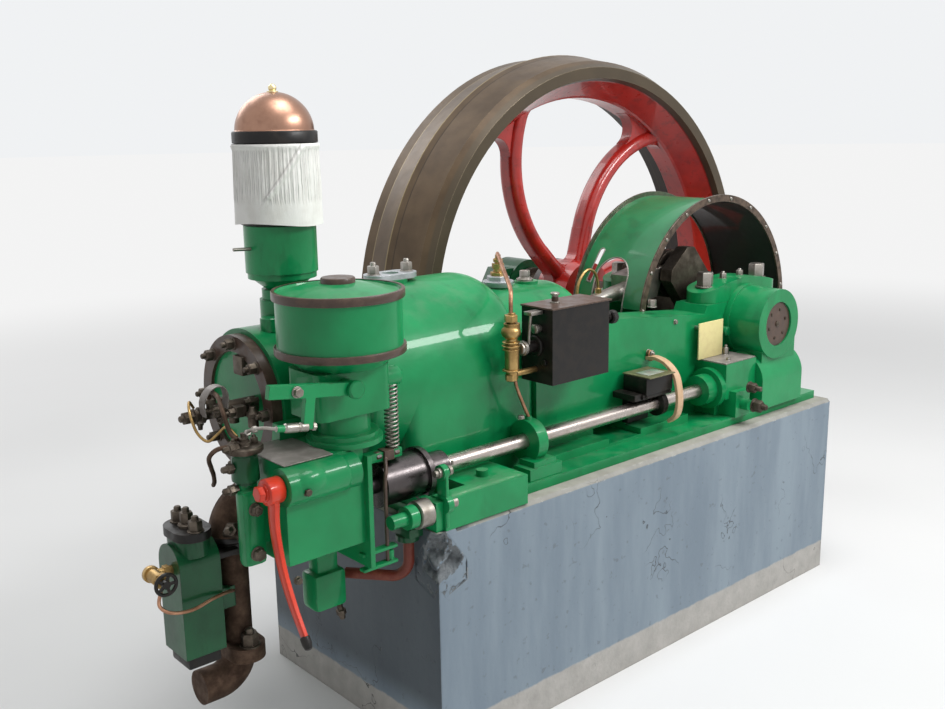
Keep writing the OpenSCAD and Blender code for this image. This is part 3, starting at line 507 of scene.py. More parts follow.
# %% Directions and uprights
UP, NEAR, FAR, TO_CRANK, TO_HEAD = (0, 0, 1), (0, -1, 0), (0, 1, 0), (1, 0, 0), (-1, 0, 0)
GOVERNOR, PUMP, SIGHT = (-1588, -285), (-1822, -262), (-1083, -285)
EXHAUST, FILTER, OILER = (-1757, -50), (-1866, -60), (-861, 0)
print("the crankshaft runs", AXIS, "mm above the floor")


# %% Turned shapes
def skin(bm, rings, caps=True):
    """Join rings of points, each to the next, and close the two ends."""
    for low, high in zip(rings, rings[1:]):
        for k in range(len(low)):
            j = (k + 1) % len(low)
            bm.faces.new((low[k], low[j], high[j], high[k]))
    if caps:
        bm.faces.new(rings[0][::-1])
        bm.faces.new(rings[-1])


def along(direction):
    """The turn that takes straight up to a direction."""
    return Vector(direction).to_track_quat("Z", "Y").to_matrix().to_4x4()


def turned(bm, at, direction, outline, sides=28, phase=0.0):
    """Turn (height, radius) points round a direction, closed at both ends."""
    place = Matrix.Translation(at) @ along(direction)
    angles = [phase + 2 * math.pi * k / sides for k in range(sides)]
    skin(bm, [[bm.verts.new(place @ Vector((r * math.cos(a), r * math.sin(a), h))) for a in angles]
              for h, r in outline])


# %% Nuts
def nut(bm, at, direction, across, stud=0.35, high=0.8, phase=0.3):
    """A chamfered hexagon on a washer, with its stud's end above it.

    All heights are shares of the width across flats.
    """
    way = Vector(direction).normalized()
    r = across / 2 / math.cos(math.pi / 6)
    turned(bm, at, way, [(-1, r * 1.16), (across * 0.07, r * 1.16), (across * 0.09, r * 1.1)], 24)
    sides = [(0, r * 0.9), (across * 0.06, r), (across * (high - 0.08), r), (across * high, r * 0.88)]
    turned(bm, Vector(at) + way * across * 0.09, way, sides, 6, phase)
    if stud:
        thick, thin = across * 0.29, across * 0.22
        turned(bm, Vector(at) + way * across * high, way,
               [(0, thick), (across * stud, thick), (across * (stud + 0.09), thin)], 16)


# %% Slabs
def slab(bm, low, high, bevel=2.0):
    """A block between two corners, with rounded edges."""
    low, high = Vector(low), Vector(high)
    made = bmesh.ops.create_cube(bm, size=1)["verts"]
    for v in made:
        v.co = Vector([(low[i] + high[i]) / 2 + v.co[i] * (high[i] - low[i]) for i in range(3)])
    edges = list({e for v in made for e in v.link_edges})
    bmesh.ops.bevel(bm, geom=edges, offset=bevel, segments=2, affect="EDGES", profile=0.6)


# %% Tubes
def smooth_line(points, steps=8):
    """A smooth line through all the points."""
    pts = [Vector(p) for p in points]
    pts = [pts[0] * 2 - pts[1]] + pts + [pts[-1] * 2 - pts[-2]]
    line = []
    for a, b, c, d in zip(pts, pts[1:], pts[2:], pts[3:]):
        for t in (k / steps for k in range(steps)):
            line.append(((b * 2) + (c - a) * t + (a * 2 - b * 5 + c * 4 - d) * t * t
                         + (b * 3 - a - c * 3 + d) * t ** 3) / 2)
    return line + [pts[-2]]


def pipe(bm, points, radius, sides=10, steps=8):
    """Sweep a circle along a smooth line, turning it no more than the line turns."""
    line = smooth_line(points, steps) if steps else [Vector(p) for p in points]
    heading = (line[1] - line[0]).normalized()
    side = heading.orthogonal().normalized()
    rings = []
    for k, at in enumerate(line):
        new = (line[min(k + 1, len(line) - 1)] - line[max(k - 1, 0)]).normalized()
        side.rotate(heading.rotation_difference(new))
        heading = new
        up = heading.cross(side)
        rings.append([bm.verts.new(at + radius * (side * math.cos(a) + up * math.sin(a)))
                      for a in (2 * math.pi * j / sides for j in range(sides))])
    skin(bm, rings)


# %% Flat bands
def band(bm, points, across, deep, wide, end=1.0):
    """Sweep a flat bar along a smooth line; end is the last section's share of the first."""
    section = (-1, -0.8), (-0.8, -1), (0.8, -1), (1, -0.8), (1, 0.8), (0.8, 1), (-0.8, 1), (-1, 0.8)
    line, across = smooth_line(points), Vector(across).normalized()
    rings = []
    for k, at in enumerate(line):
        way = line[min(k + 1, len(line) - 1)] - line[max(k - 1, 0)]
        share = 0.5 * (1 + (end - 1) * k / (len(line) - 1))
        up = way.cross(across).normalized()
        rings.append([bm.verts.new(at + up * u * deep * share + across * v * wide * share)
                      for u, v in section])
    skin(bm, rings)


# %% From a bmesh to a piece
def settle(name, bm, finish, body="engine", sharp=38):
    """Close a bmesh into an object that rides on a body of the engine."""
    bmesh.ops.remove_doubles(bm, verts=bm.verts, dist=0.01)
    bmesh.ops.dissolve_degenerate(bm, edges=bm.edges, dist=0.001)
    bmesh.ops.recalc_face_normals(bm, faces=bm.faces)
    bmesh.ops.scale(bm, vec=(MM, MM, MM), verts=bm.verts)
    mesh = bpy.data.meshes.new(name)
    bm.to_mesh(mesh)
    bm.free()
    mesh.shade_smooth()
    mesh.set_sharp_from_angle(angle=math.radians(sharp))
    mesh.materials.append(finish.mat)
    piece = bpy.data.objects.new(name, mesh)
    bpy.context.scene.collection.objects.link(piece)
    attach(piece, body)
    print(name, len(mesh.polygons), "faces")
    return piece


# %% [markdown]
# ## Broken corner
# The plinth's near corner is knocked off under the cam bracket. A plane cut is
# all that the solid needs; here a fine grid lies on that cut, and two sizes of
# noise lift it into crumbs. Near its border the grid rises to the old faces,
# so the break ends in a ragged line instead of a straight one.

# %% Broken corner
HALF, LOW_END, HIGH_END, STEP = 60, -150, 22, 3  # the grid's reach and step
low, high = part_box("plinth")
corner = Vector((low[0], low[1], high[2])) / MM
spin = Matrix.Rotation(math.radians(45), 3, "Z") @ Matrix.Rotation(math.radians(-27), 3, "Y")
bm = bmesh.new()
rows = []
for w in range(LOW_END, HIGH_END, STEP):
    rows.append([])
    for u in range(-HALF, HALF + 1, STEP):
        coarse = noise.noise(Vector((u, w, 7)) / 27)
        fine = noise.noise(Vector((u, w, 3)) / 8)
        cut = spin @ Vector((15, u, w))
        room = max(0, min(cut.x, cut.y)) / 0.63
        border = max(abs(u) / HALF, (-w - 10) / 115) + 0.45 * coarse
        lift = max(0.6, room * min(1, max(0.1, (border - 0.58) / 0.22)) + 8 * fine + 5 * coarse)
        at = spin @ Vector((15 - lift, u, w))
        rows[-1].append(bm.verts.new(corner + Vector((max(at.x, 0.12), max(at.y, 0.12), min(at.z, -0.12)))))
for below, above in zip(rows, rows[1:]):
    for j in range(len(below) - 1):
        bm.faces.new((below[j], below[j + 1], above[j + 1], above[j]))
settle("broken_corner", bm, stone, sharp=16)

# %% [markdown]
# ## Nuts and bolts
# A cast engine is held together by studs, and their nuts catch the light along
# every flange. Large ones on the bearing caps are bright and tall, and those of
# the hot head are dark with oil, so they are sorted by finish into two objects.
# Their places follow the flanges they hold, and loops set those of a circle.

# %% Bright nuts
bm = bmesh.new()
for side in (-1, 1):
    for y in (-175, 175):
        nut(bm, (side * 140, y, 986), UP, 45, 0.0, 0.95, 0.4)
        nut(bm, (side * 45, y, 1003), UP, 19, 0.3)
for y in (-62, 62):
    nut(bm, (-1236 + y * 0.85, 0, 1129), UP, 26, 0.35)
    nut(bm, (y * 2.9, 790 + y * 0.4, 622), UP, 34, 0.3)
turned(bm, (-757, 0, 1050), UP, [(0, 24), (12, 24), (14, 20)], 24)
nut(bm, (-757, 0, 1064), UP, 26, 0.0, 0.75)
nut(bm, (-392, -170, 954), UP, 22, 0.0, 0.9)
nut(bm, (-357, -230, 911), NEAR, 12, 0.0, 0.5)
nut(bm, (-479, -230, 836), NEAR, 17, 0.3, 0.9)
for x in (-1200, -700, -200, 190):
    nut(bm, (x, 272, 615), UP, 30, 0.5)
settle("bright_nuts", bm, steel)

# %% Dark nuts
bm = bmesh.new()
for angle in range(0, 360, 45):
    turn = math.radians(angle)
    nut(bm, (-1692, 141 * math.cos(turn), AXIS + 141 * math.sin(turn)), TO_HEAD,
        23, 0.45, 0.8, turn)
for angle in range(0, 360, 60):
    turn = math.radians(angle + 15)
    turned(bm, (45 * math.cos(turn), -351, AXIS + 45 * math.sin(turn)), NEAR,
           [(-1, 5), (2, 5), (3, 3)], 12)
turned(bm, (0, -351, AXIS), NEAR, [(-1, 9), (3, 9), (5, 6)], 16)
for side in (-1, 1):
    nut(bm, (-1757, -50 + side * 60, 325), UP, 36, 0.3)
    nut(bm, (-1866, -60 + side * 42, 635), UP, 28, 0.35)
nut(bm, (*FILTER, 641), UP, 27, 0.4, 0.9)
turned(bm, (*FILTER, 634), UP, [(0, 20), (6, 20), (8, 17)], 24)
for x, y, z in ((-1760, -397, 776), (-1768, -355, 572)):
    nut(bm, (x, y, z), NEAR, 14, 0.0, 0.6)
nut(bm, (-200, -393, 712), NEAR, 26, 0.7)
nut(bm, (-172, -393, 650), NEAR, 32, 0.5)
for x, y in ((-1846, -262), (-1798, -262)):
    nut(bm, (x, y, 857), UP, 15, 0.4)
settle("dark_nuts", bm, iron)

# %% [markdown]
# ## Screws of the crank guard
# The sheet of the crank guard is screwed to an angle iron on both sides. The
# heads are small, but their even spacing shows the size of the guard.

# %% Guard screws
bm = bmesh.new()
for face, way in ((-122, -1), (162, 1)):
    for k in range(10):
        turn = math.radians(9 + 18 * k)
        at = (379 * math.cos(turn), face, AXIS + 379 * math.sin(turn))
        turned(bm, at, (0, way, 0), [(-1, 6), (1, 6), (3, 4.5), (3.6, 2)], 14)
settle("guard_screws", bm, steel)

# %% [markdown]
# ## The cotton cover of the air filter
# A stocking of unbleached cotton is gathered over a wire drum: rolled where the
# black band grips it, in fine pleats down to a plain hem, with one slanting
# crease where it is twisted. A cloth solver would need hundreds of pins to keep
# such pleats, so the sheet is laid out by formula: its radius is a sum of waves
# that die out at the hem. Its real size is measured along the pleats.
#
# The cloth's finish follows the same shape: the finest pleats are stripes of a
# sine round the drum, bent by noise and painted darker as the shade in their folds,
# with a smooth path left for the crease, and a painted shadow runs beside the crease.

# %% Cotton
cotton = Finish("unbleached_cotton", Roughness=0.9, Sheen_Weight=0.15)
angle = cotton.y.math("ARCTAN2", cotton.y, cotton.x + 1.551)  # round the drum's own axis
twist = angle + 1.414 + (1.461 - cotton.z) * 7.59
crease = 1 - abs(twist).over(0.05, 0.03)
# Painted shadow: a dark line beside the crease.
painted_crease_shadow = (1 - abs(twist + 0.085).over(0.02, 0.02)) * cotton.z.over(1.34, 0.01)
ribs = angle * 118 + cotton.noise(40, 3, 0.6, (1, 1, 0.4)) * 14
ribs = ribs.math("SINE", ribs).over(0.62, 0.3) * cotton.noise(22, 3, 0.6, (1, 1, 0.35)).over(0.46, 0.14)
pleated = cotton.z.over(1.330, 0.006) * (1 - cotton.z.over(1.447, 0.002))
# The dark pleat stripes: painted shade in the folds.
lines = ribs * pleated * (1 - crease)
dirt = cotton.noise(55, 5, 0.6).over(0.58, 0.12)
colour = cotton.mix(dirt * 0.3, (0.91, 0.90, 0.86), (0.66, 0.63, 0.57))
# Painted shade: dark stripes in the folds of the fine pleats.
colour = cotton.mix(lines * 0.5, colour, (0.33, 0.315, 0.295))
# Painted shadow beside the crease.
colour = cotton.mix(painted_crease_shadow * 0.4, colour, (0.30, 0.285, 0.26))
cotton.feed(Base_Color=colour)
threads = cotton.noise(1.3, 2) * 0.5 + cotton.noise(9, 4, 0.6, (1, 1, 0.3))
cotton.bump(threads - lines * 0.6 + crease * 0.8, 1.4, 0.8)
tell(cotton)

# %% The cover's radius
COVER_X, COVER_TOP, COVER_LOW = -1551, 1461, 1277
AROUND, DOWN = 420, 34
chance = random.Random(7)
waves = [(k, chance.uniform(0, 6.28), chance.uniform(0.25, 0.8)) for k in (23, 37, 48, 61, 74)]


def cover_radius(angle, t):
    """The cotton's radius at an angle, t of the way down, in millimetres."""
    gather = min(1, max(0, (0.74 - t) / 0.08)) * min(1, max(0, (t - 0.035) / 0.03))
    pleats = sum(size * math.sin(k * angle + phase + 0.5 * math.sin(3 * angle + t))
                 for k, phase, size in waves)
    crease = (math.degrees(angle) + 81 + 80 * t + 180) % 360 - 180
    ridge = 6.0 * math.exp(-(crease / 3.6) ** 2) * (t < 0.66)
    roll = 4.5 * math.exp(-((t - 0.03) / 0.03) ** 2)
    sway = 1.6 * math.sin(3 * angle + 1) * t + 1.3 * math.sin(7 * angle) * t
    return 96.5 + 4.5 * t + roll + gather * pleats + gather * ridge + sway


# %% The sheet
bm = bmesh.new()
grid = []
for row in range(DOWN + 1):
    t = row / DOWN
    ring = []
    for k in range(AROUND):
        angle = 2 * math.pi * k / AROUND
        r = cover_radius(angle, t)
        sag = 5.0 * math.sin(2 * angle + 0.6) * t * t
        ring.append(bm.verts.new((COVER_X + r * math.cos(angle), r * math.sin(angle),
                                  COVER_TOP - 1 - (COVER_TOP - COVER_LOW - 4) * t + sag)))
    grid.append(ring)
for low, high in zip(grid, grid[1:]):
    for k in range(AROUND):
        j = (k + 1) % AROUND
        bm.faces.new((low[k], high[k], high[j], low[j]))

# %% The sheet's real size, and its thickness
cloth_area = sum(f.calc_area() for f in bm.faces) * MM * MM
cloth_long = sum((a[0].co - b[0].co).length for a, b in zip(grid, grid[1:])) * MM
bmesh.ops.solidify(bm, geom=bm.faces[:], thickness=0.9)
cover = settle("cotton_cover", bm, cotton, sharp=60)
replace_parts(cover, "filter_cloth")
cloth_area / cloth_long
print("cotton cut to", round(cloth_area / cloth_long, 3), "by", round(cloth_long, 3), "m")

# %% [markdown]
# ## Drum, band and dome of the air filter
# Under the cotton stands a wire drum, held by a black band, and a spun copper
# dome with a small brass knob closes the top. All are bodies of revolution, so
# each is an outline turned once, and a loop sets the drum's upright wires.

# %% The wire drum under the cotton
bm = bmesh.new()
turned(bm, (COVER_X, 0, COVER_LOW + 0.2), UP, [(0, 84), (3, 91), (9, 91.5), (175, 91.5), (182, 90)], 72)
for k in range(36):
    turn = 2 * math.pi * k / 36
    foot = Vector((COVER_X + 92 * math.cos(turn), 92 * math.sin(turn), COVER_LOW + 6))
    pipe(bm, [foot, foot + Vector((0, 0, 170))], 1.2, 6, 0)
settle("filter_drum", bm, black)

# %% Band and dome
bm = bmesh.new()
turned(bm, (COVER_X, 0, 1461.2), UP, [(0, 94), (1, 97.2), (24, 97.2), (27, 95)], 96)
settle("dome_band", bm, black)
bm = bmesh.new()
arc = [(26 + 88 * math.sin(a), 90 * math.cos(a)) for a in (math.radians(3 * k) for k in range(31))]
turned(bm, (COVER_X, 0, 1461), UP, [(25, 88), (26, 91.5), (28, 91.5), (29, 90)] + arc[1:-1], 96)
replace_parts(settle("copper_dome", bm, dome), "air_dome")

# %% Knob of the dome, and the pot's plug
bm = bmesh.new()
ball = [(122 + 9.5 * math.sin(a), 9.5 * math.cos(a)) for a in (math.radians(15 * k) for k in range(-4, 6))]
turned(bm, (COVER_X, 0, 1461), UP, [(113, 13), (115, 13), (116, 7)] + ball + [(131.6, 1)], 28)
settle("dome_knob", bm, knob_brass)
bm = bmesh.new()
turned(bm, (-1610, -34, 1036), UP, [(0, 24), (30, 24), (33, 21)], 28)
settle("pot_fittings", bm, green)

# %% [markdown]
# ## Governor drum
# The governor turns in a drum with two bands in brown paint and a plain boss on
# its lid. Its wall is set back between two belts, and the domed lid lies inside a
# raised rim. The solid is plainer, so a shell turned from the full outline stands
# for it.

# %% Bands of the governor drum
bm = bmesh.new()
for low, high in ((1023.5, 1039.5), (1142, 1160.5)):
    high -= low
    tube = [(0, 135), (0, 141.5), (1.2, 142.4), (high - 1.2, 142.4), (high, 141.5), (high, 134.5)]
    skin(bm, [[bm.verts.new((GOVERNOR[0] + r * math.cos(a), GOVERNOR[1] + r * math.sin(a), low + h))
               for a in (math.pi * k / 64 for k in range(128))] for h, r in tube], caps=False)
turned(bm, (*GOVERNOR, 1170), UP, [(0, 37), (12, 37), (14.6, 35), (15, 20)], 48)
settle("governor_bands", bm, umber)

# %% The drum's shell
bm = bmesh.new()
turned(bm, (*GOVERNOR, 1023), UP,
       [(0, 128), (0.3, 140), (16, 140), (16.5, 136), (119, 136), (119.5, 140.5), (134.5, 140.5),
        (136, 139), (136, 134), (130, 131), (131, 127), (140, 96), (146, 66), (150, 38)], 128)
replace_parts(settle("drum_shell", bm, green, sharp=28), "governor_drum")

# %% [markdown]
# ## Spring and linkage
# A rocker arm works the fuel pump through a bright link, and a spring pulls a thin
# rod down to a clip. The real spring is a helix of round wire, so a tube is swept
# along one. The rest are turned shapes, small slabs and short pipes.

# %% The spring
COILS, LONG, STEPS = 16, 150, 14  # turns, length in millimetres, and points in a turn
bm = bmesh.new()
coil = [(-1470 + 14.4 * math.cos(a), -300 + 14.4 * math.sin(a), 784 + LONG * a / (2 * math.pi * COILS))
        for a in (2 * math.pi * k / STEPS for k in range(STEPS * COILS + 1))]
pipe(bm, coil, 2.5, 8, 0)
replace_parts(settle("wire_spring", bm, steel, sharp=60), "governor_spring")

# %% Boss over the spring
bm = bmesh.new()
turned(bm, (-1532, -300, 950), TO_CRANK, [(0, 22.8), (76, 22.8), (80, 21), (86, 15)], 32)
turned(bm, (-1628, -389.5, 965), NEAR, [(0, 20), (8, 20), (11, 17)], 28)
settle("spring_arm", bm, green)

# %% Link to the fuel pump
bm = bmesh.new()
nut(bm, (-1766, -389, 984), NEAR, 18, 0.0, 0.55)
lean = Vector((-0.9903, 0, 0.1392))
turned(bm, (-1741, -382, 906.2), lean,
       [(0, 6), (2, 9.6), (18, 9.6), (20, 8), (23, 8), (25, 10), (52, 10), (56, 7), (74, 6)], 22)
turned(bm, (-1741, -382, 906.2), -lean, [(0, 6), (9, 6), (10, 9), (17, 9), (19, 6)], 6)
pipe(bm, [(-1812, -382, 916), (-1824, -352, 914), (-1828, -315, 904), (-1825, -280, 890)], 3.6)
for y, z in ((-318, 903), (-288, 889)):
    turned(bm, (-1826, y - 5, z + 4), (0, 1, -0.5), [(0, 6), (2, 7.5), (8, 7.5), (10, 6)], 6)
settle("pump_link", bm, steel, sharp=30)

# %% Rod under the spring
bm = bmesh.new()
slab(bm, (-1505, -318, 762), (-1477, -288, 786), 3)
pipe(bm, [(-1500, -312, 770), (-1518, -338, 748), (-1526, -344, 722), (-1526, -344, 600),
          (-1526, -344, 536)], 4.6)
for x, way in ((-1505, -1), (-1477, 1)):
    turned(bm, (x, -304, 774), (way, 0, 0), [(-1, 8), (4, 8), (5, 11), (17, 11), (19, 8), (26, 6)], 6)
settle("spring_rod", bm, umber)

# %% Clip of the rod
bm = bmesh.new()
for z in (568, 532):
    slab(bm, (-1596, -352, z), (-1502, -332, z + 8), 2.5)
nut(bm, (-1518, -343, 541), UP, 15, 0.0, 1.4)
settle("rod_clip", bm, green)

# %% [markdown]
# ## Cam lever
# A short green lever on the cam bracket carries a bright roller, and its pins have
# collars. Each is an outline turned round the pin's own line, and the lever is a
# slab with round eyes.

# %% Cam rollers
bm = bmesh.new()
turned(bm, (-1463, -366, 636), TO_CRANK, [(0, 29), (2, 33), (36, 33), (38, 29)], 44)
turned(bm, (-1389, -392, 652), TO_CRANK, [(0, 13), (24, 13), (27, 10)], 28)
turned(bm, (-1418, -384, 727), TO_CRANK,
       [(0, 8), (8, 8), (9, 12), (17, 12), (18, 8), (38, 8), (39, 12), (47, 12), (50, 8)], 24)
turned(bm, (-1364, -384, 738), UP, [(0, 3), (10, 3)], 8)
pipe(bm, [(-1633, -6, 1226), (-1678, -6, 1228)], 4, 10, 0)
settle("cam_rollers", bm, steel)

# %% Cam lever
bm = bmesh.new()
slab(bm, (-1399.5, -402, 596), (-1389, -368, 736), 5)
turned(bm, (-1402, -384, 727), TO_CRANK, [(0, 18), (15, 18), (18, 15)], 28)
turned(bm, (-1400, -392, 652), TO_CRANK, [(0, 21), (16, 21), (19, 18)], 28)
settle("cam_lever", bm, green)

# %% [markdown]
# ## Fuel pump and injector
# A small plunger pump sends the oil through a thin steel pipe to the injector in
# the head. Both are a nest of unions and clamps, black with fuel oil, and their
# pipes bend in loops that take up vibration. Swept tubes and hexagons from the
# helpers are enough. The pump's barrel has its own turned outline, in place of
# the plainer solid.

# %% Pump and injector fittings
bm = bmesh.new()
turned(bm, (*PUMP, 844), UP, [(0, 27), (1, 38), (4, 40), (12, 40), (15, 37)], 40)
turned(bm, (*PUMP, 858), UP, [(0, 17), (8, 16), (9, 11), (16, 11), (17, 6), (26, 6)], 24)
for x, y, z in ((-1849, -272, 860), (-1850, -262, 815), (-1850, -262, 768)):
    turned(bm, (x + 8, y, z), TO_HEAD, [(0, 9), (9, 9), (10, 11.5), (20, 11.5), (22, 8), (32, 7), (34, 5)], 6)
nut(bm, (-1834, -70, 882), TO_HEAD, 26, 0.35, 0.9)
turned(bm, (-1812, -70, 882), TO_HEAD, [(0, 16), (1, 19), (11, 19), (12, 16)], 28)
for y in (-102, -38):
    nut(bm, (-1752, y, 882), TO_HEAD, 19, 0.7)
turned(bm, (-1795, -70, 892), UP, [(0, 9), (12, 9), (13, 12), (22, 12), (24, 8)], 6)
turned(bm, (-1766, -70, 898), UP, [(0, 7), (14, 7), (15, 5)], 12)
slab(bm, (-1700, -50, 945), (-1662, -8, 990), 4)
nut(bm, (-1822, -292, 726), NEAR, 22, 0.1, 0.6)
nut(bm, (-1822, -292, 628), NEAR, 24, 0.0, 0.55)
settle("pump_fittings", bm, iron)

# %% Brackets
bm = bmesh.new()
slab(bm, (-1850, -292, 600), (-1797, -258, 768), 13)
slab(bm, (-1808, -282, 640), (-1780, -236, 742), 6)
slab(bm, (-1842, -276, 752), (-1802, -248, 790), 8)
slab(bm, (-1650, -236, 410), (-1566, -172, 500), 12)
slab(bm, (-1636, -224, 480), (-1580, -184, 549), 6)
settle("pump_bracket", bm, green)

# %% Pump barrel and drain cock
bm = bmesh.new()
turned(bm, (*PUMP, 776), UP,
       [(0, 22), (6, 22), (8, 29), (14, 29.5), (62, 27), (66, 31), (70, 31), (71, 28), (74, 26)], 40)
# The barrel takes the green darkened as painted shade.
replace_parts(settle("pump_barrel", bm, shaded_green), "fuel_pump")
bm = bmesh.new()
turned(bm, (-1568, -200, 404), (0.2, 0, -1), [(0, 7), (22, 7), (23, 12), (36, 12), (38, 8), (48, 7)], 6)
settle("drain_cock", bm, iron)

# %% Fuel pipes and the strap over them
bm = bmesh.new()
pipe(bm, [(-1795, -70, 908), (-1800, -82, 932), (-1812, -140, 938), (-1832, -200, 920), (-1838, -236, 884),
          (-1836, -262, 872)], 5)
pipe(bm, [(-1846, -272, 862), (-1880, -262, 862), (-1886, -232, 838), (-1862, -190, 800), (-1838, -150, 770),
          (-1812, -100, 735), (-1800, -70, 716)], 5)
settle("fuel_pipes", bm, rust)
bm = bmesh.new()
band(bm, [(-1822, -92, 884), (-1829, -104, 922), (-1812, -108, 948), (-1786, -108, 950), (-1774, -106, 928),
          (-1776, -104, 898)], FAR, 2.5, 26)
settle("bent_strap", bm, tin)

# %% Unions round the injector
bm = bmesh.new()
for x, y, z, way, r in ((-1800, -96, 884, (0, -1, 0.3), 9), (-1782, -84, 868, (-0.3, -1, 0), 8),
                        (-1776, -50, 902, (0, 0.2, 1), 10), (-1812, -52, 870, (0, 0, -1), 9),
                        (-1700, -100, 900, TO_HEAD, 10)):
    turned(bm, (x, y, z), way,
           [(-8, r * 0.7), (4, r * 0.7), (5, r), (15, r), (16, r * 0.75), (26, r * 0.6)], 6)
for x, y, z in ((-1718, -120, 858), (-1712, -20, 846)):
    turned(bm, (x, y, z), UP, [(-12, 12), (10, 12), (12, 15), (20, 15), (24, 10), (34, 7)], 16)
turned(bm, (-1791, -122, 624), (-0.9, -0.7, 0.15),
       [(-44, 8), (-6, 8), (-5, 15), (7, 15), (8, 10), (20, 10), (24, 7)], 6)
turned(bm, (-1776, -128, 606), (0.5, -1, 0), [(-40, 8), (0, 8), (1, 13), (11, 13), (14, 8)], 6)
settle("injector_unions", bm, iron)

# %% [markdown]
# ## Oil pipes
# Thin pipes of copper and brass bring oil to the bearings, and one takes leaking
# fuel back. A pipe is a smooth line through a few points, which start and end
# inside the fittings they join, and one radius.

# %% Leak pipe and copper pipes
bm = bmesh.new()
pipe(bm, [(-1830, -62, 900), (-1850, -84, 920), (-1866, -118, 904), (-1862, -136, 866), (-1846, -150, 846),
          (-1832, -168, 862), (-1826, -200, 884), (-1824, -240, 872)], 3.2)
settle("leak_pipe", bm, brass)
bm = bmesh.new()
pipe(bm, [(*SIGHT, 1036), (*SIGHT, 1068), (-1062, -262, 1094), (-985, -160, 1116), (-890, -35, 1140),
          (-866, -4, 1144)], 5.5)
pipe(bm, [(-1070, -285, 876), (-1066, -286, 850), (-1044, -287, 800), (-1024, -287, 762)], 4.5)
pipe(bm, [(-1960, -112, 530), (-1972, -124, 500), (-1954, -142, 484), (-1905, -140, 474), (-1850, -128, 478),
          (-1805, -112, 474), (-1780, -90, 462)], 4)
settle("copper_pipes", bm, copper)

# %% Oil pipe over the rod
bm = bmesh.new()
pipe(bm, [(-442, 0, 980), (-444, 0, 1016), (-458, 0, 1046), (-483, 0, 1059), (-508, 0, 1050), (-532, 0, 1018),
          (-540, 0, 962)], 4.5)
for x, z in ((-442, 978), (-540, 962)):
    turned(bm, (x, 0, z), UP, [(0, 10), (18, 10), (20, 7)], 6)
settle("rod_oil_pipe", bm, brass)

# %% [markdown]
# ## Lubricator
# The lubricator is a dark box with a driven arm on its left face and a knurled
# knob on its right. Knurling is a ring of small teeth, and a turned outline with
# every second side pushed out gives it.

# %% Arm of the lubricator
bm = bmesh.new()
turned(bm, (-1036, -285, 945), TO_HEAD, [(0, 17), (2, 19), (10, 19), (12, 15), (16, 14), (18, 11)], 24)
pipe(bm, [(-1028, -292, 952), (-1034, -300, 990), (-1030, -302, 1037)], 4)
slab(bm, (-1042, -316, 1030), (-1000, -288, 1040), 2.5)
turned(bm, (-997, -300, 992), TO_HEAD, [(0, 9), (8, 9), (10, 12), (20, 12), (22, 9)], 18)
turned(bm, (-928, -286, 1046), UP, [(0, 13), (4, 13), (6, 8), (20, 8), (21, 12), (26, 12), (28, 10)], 22)
settle("lubricator_arm", bm, steel)

# %% Knurled knob
TEETH, DEEP = 20, 1.6  # teeth round the knob, and their depth
bm = bmesh.new()
turned(bm, (-997, -285, 945), TO_HEAD, [(0, 27), (5, 27), (7, 24)], 40)
turned(bm, (-997, -318, 905), TO_HEAD, [(0, 8), (5, 8), (6, 6)], 14)
turned(bm, (-746, -305, 986), TO_CRANK, [(0, 8), (12, 8), (13, 6)], 20)
place = Matrix.Translation((-738, -305, 986)) @ along(TO_CRANK)
spokes = [(k * math.pi / TEETH, k % 2 * DEEP) for k in range(2 * TEETH)]
skin(bm, [[bm.verts.new(place @ Vector(((r + out) * math.cos(a), (r + out) * math.sin(a), h)))
           for a, out in spokes] for h, r in ((0, 13), (3, 17), (17, 17), (20, 14))])
settle("lubricator_knob", bm, black, sharp=25)

# %% [markdown]
# ## Sight glass and oiler
# The drip glass beside the lubricator is clasped by turned brass rings, and the
# oiler on the cylinder stands on a grey cup with hexagons above it. Rings with
# softened edges catch the light in thin lines, and a turned outline gives them.

# %% Rings of the sight glass and the oiler
bm = bmesh.new()
for low, high, r, sides in ((893, 5, 22, 28), (946, 5, 21, 28), (956, 4, 23, 28), (965, 4, 22, 28),
                            (1018, 18, 17, 6)):
    turned(bm, (*SIGHT, low), UP, [(0, r - 1.5), (1, r), (high - 1, r), (high, r - 1.5)], sides)
turned(bm, (*SIGHT, 976), UP, [(0, 14), (6, 21), (15, 25), (24, 23), (32, 15), (38, 12)], 28)
turned(bm, (*SIGHT, 868), UP, [(0, 13), (2, 16), (16, 16), (18, 13)], 6)
for low, r in ((1082, 23), (1101, 18), (1119, 14)):
    turned(bm, (*OILER, low), UP, [(0, r - 2), (1, r), (9, r), (11, r - 3)], 6)
settle("sight_rings", bm, brass)

# %% Cup of the oiler
bm = bmesh.new()
turned(bm, (*OILER, 1052), UP, [(0, 40), (11, 44), (15, 44), (16, 41)], 44)
turned(bm, (*OILER, 1066), UP, [(0, 30), (2, 33), (14, 33), (16, 29)], 6)
settle("oiler_base", bm, zinc)

# %% [markdown]
# ## Edging of the guard's openings
# The guard is open in an arch over the rod and in a slot beside it, and each
# opening has a thin round edge. The edge bends with the sheet: it is drawn flat,
# in width and height, and the sheet's radius gives its distance forward.

# %% Edging of the guard's openings
SHEET_R = 376  # the sheet's radius round the crankshaft


def on_sheet(y, z):
    """The point of the curved guard sheet at a width and a height."""
    return (-math.sqrt(SHEET_R ** 2 - (z - AXIS) ** 2), y, z)


